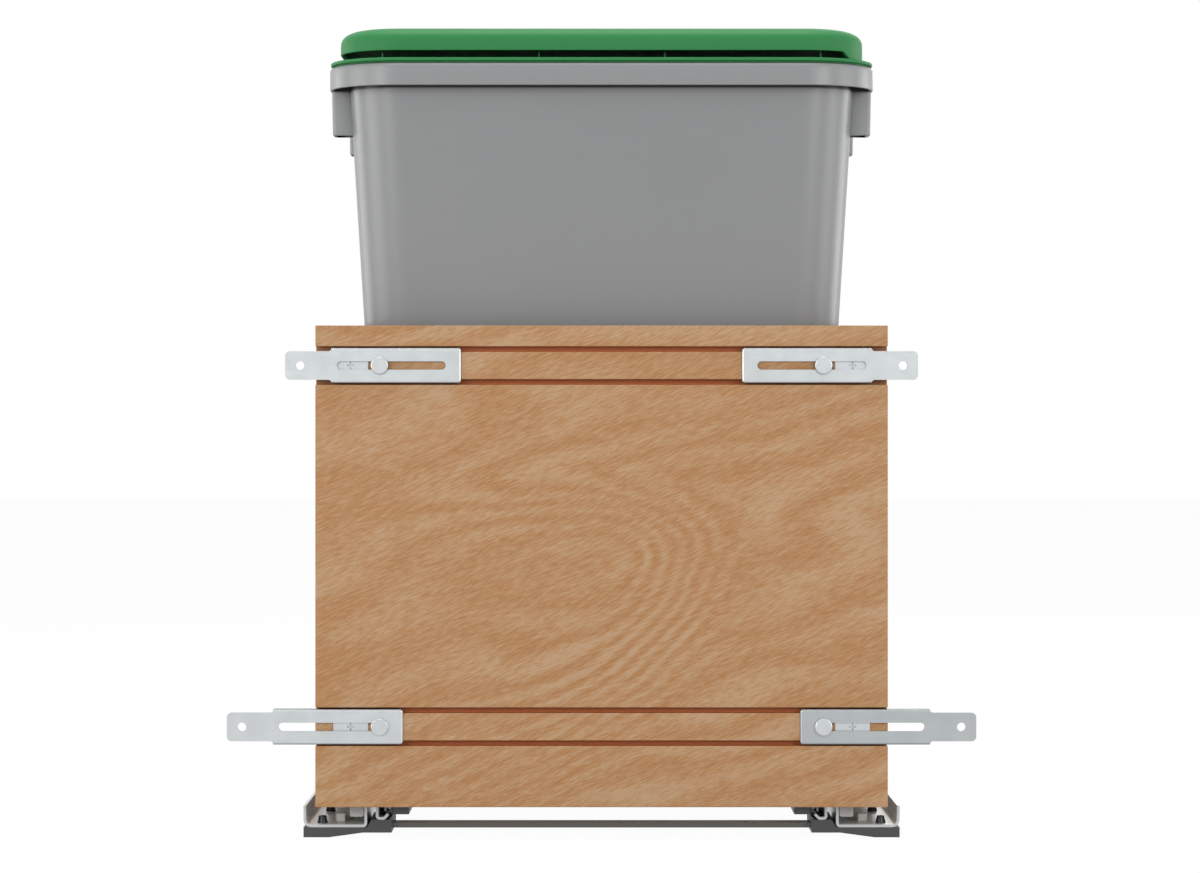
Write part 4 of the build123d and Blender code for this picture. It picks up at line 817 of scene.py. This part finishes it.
cap = bmesh.new()
cap_width = cap_high.x * 2
cap_depth = cap_high.y - cap_low.y
crown_base = cap_high.z - CROWN_RISE
crown = rounded_face(cap, cap_width, cap_depth, CAP_CORNER, crown_base, segments=16)
cap_outline = list(crown.verts)
for step in range(CROWN_STEPS):
    turn_before = math.pi / 2 * step / CROWN_STEPS
    turn_after = math.pi / 2 * (step + 1) / CROWN_STEPS
    run = [CROWN_RUN * (1 - math.cos(turn) ** (2 / CROWN_POWER))
           for turn in (turn_before, turn_after)]
    rise = CROWN_RISE * math.sin(turn_after) ** (2 / CROWN_POWER)
    bmesh.ops.inset_region(
        cap, faces=[crown], thickness=run[1] - run[0], use_boundary=True, use_even_offset=True)
    for vert in crown.verts:
        vert.co.z = crown_base + rise
skirt_down(cap, edges_between(cap_outline), crown_base - cap_edge)

skirt_from = cap_high.x - HINGE_SKIRT
skirt_drop = FINGER_GAP - SKIRT_PLAY
score(cap, (skirt_from, 0, 0), (1, 0, 0))
end_edges = [e for e in cap.edges if e.is_boundary
             and min(v.co.x for v in e.verts) > skirt_from - 10 * CUT_CLOSE]
lower = skirt_down(cap, end_edges, skirt_drop)
end_faces = list({f for v in lower for f in v.link_faces})
end_geom = end_faces + list({e for f in end_faces for e in f.edges}) + list(
    {v for f in end_faces for v in f.verts})
bmesh.ops.bisect_plane(
    cap, geom=end_geom, dist=CUT_CLOSE, plane_co=(skirt_from, 0, cap_edge),
    plane_no=(-skirt_drop, 0, -SKIRT_SLANT), clear_outer=True)

notch_top = hinge_z + KNUCKLE_R + HINGE_PLAY
for side in (-1, 1):
    for edge in (-1, 1):
        notch_end = side * HINGE_SIDE + edge * (EAR_WIDTH / 2 + HINGE_PLAY)
        score(cap, (0, notch_end, 0), (0, 1, 0))
score(cap, (0, 0, notch_top), (0, 0, 1))
notched = [f for f in cap.faces if f.calc_center_median().z < notch_top
           and f.calc_center_median().x > hinge_x
           and abs(abs(f.calc_center_median().y) - HINGE_SIDE) < EAR_WIDTH / 2]
bmesh.ops.delete(cap, geom=notched, context="FACES")
turn_up(cap)
bmesh.ops.translate(cap, verts=cap.verts, vec=(0, lid_y, 0))
cap_skin = piece(cap, "lid_cap_moulding", lid_plastic, "lid_cap", "lid_cap")
add_wall(cap_skin, LID_WALL, LID_EASE)

knuckles = bmesh.new()
for side in (-1, 1):
    for end in (-1, 1):
        middle = side * HINGE_SIDE + end * (EAR_WIDTH / 2 + HINGE_PLAY + KNUCKLE_WIDTH / 2)
        start = lid_y + middle - KNUCKLE_WIDTH / 2
        hinge_barrel(knuckles, hinge_x, start, hinge_z, KNUCKLE_WIDTH)
piece(knuckles, "lid_cap_knuckles", lid_plastic, "lid_cap", ())
eased_copy("lid_hinge_pins", "steel_hinge_pins", PIN_EASE, rail_zinc, "lid_cap")
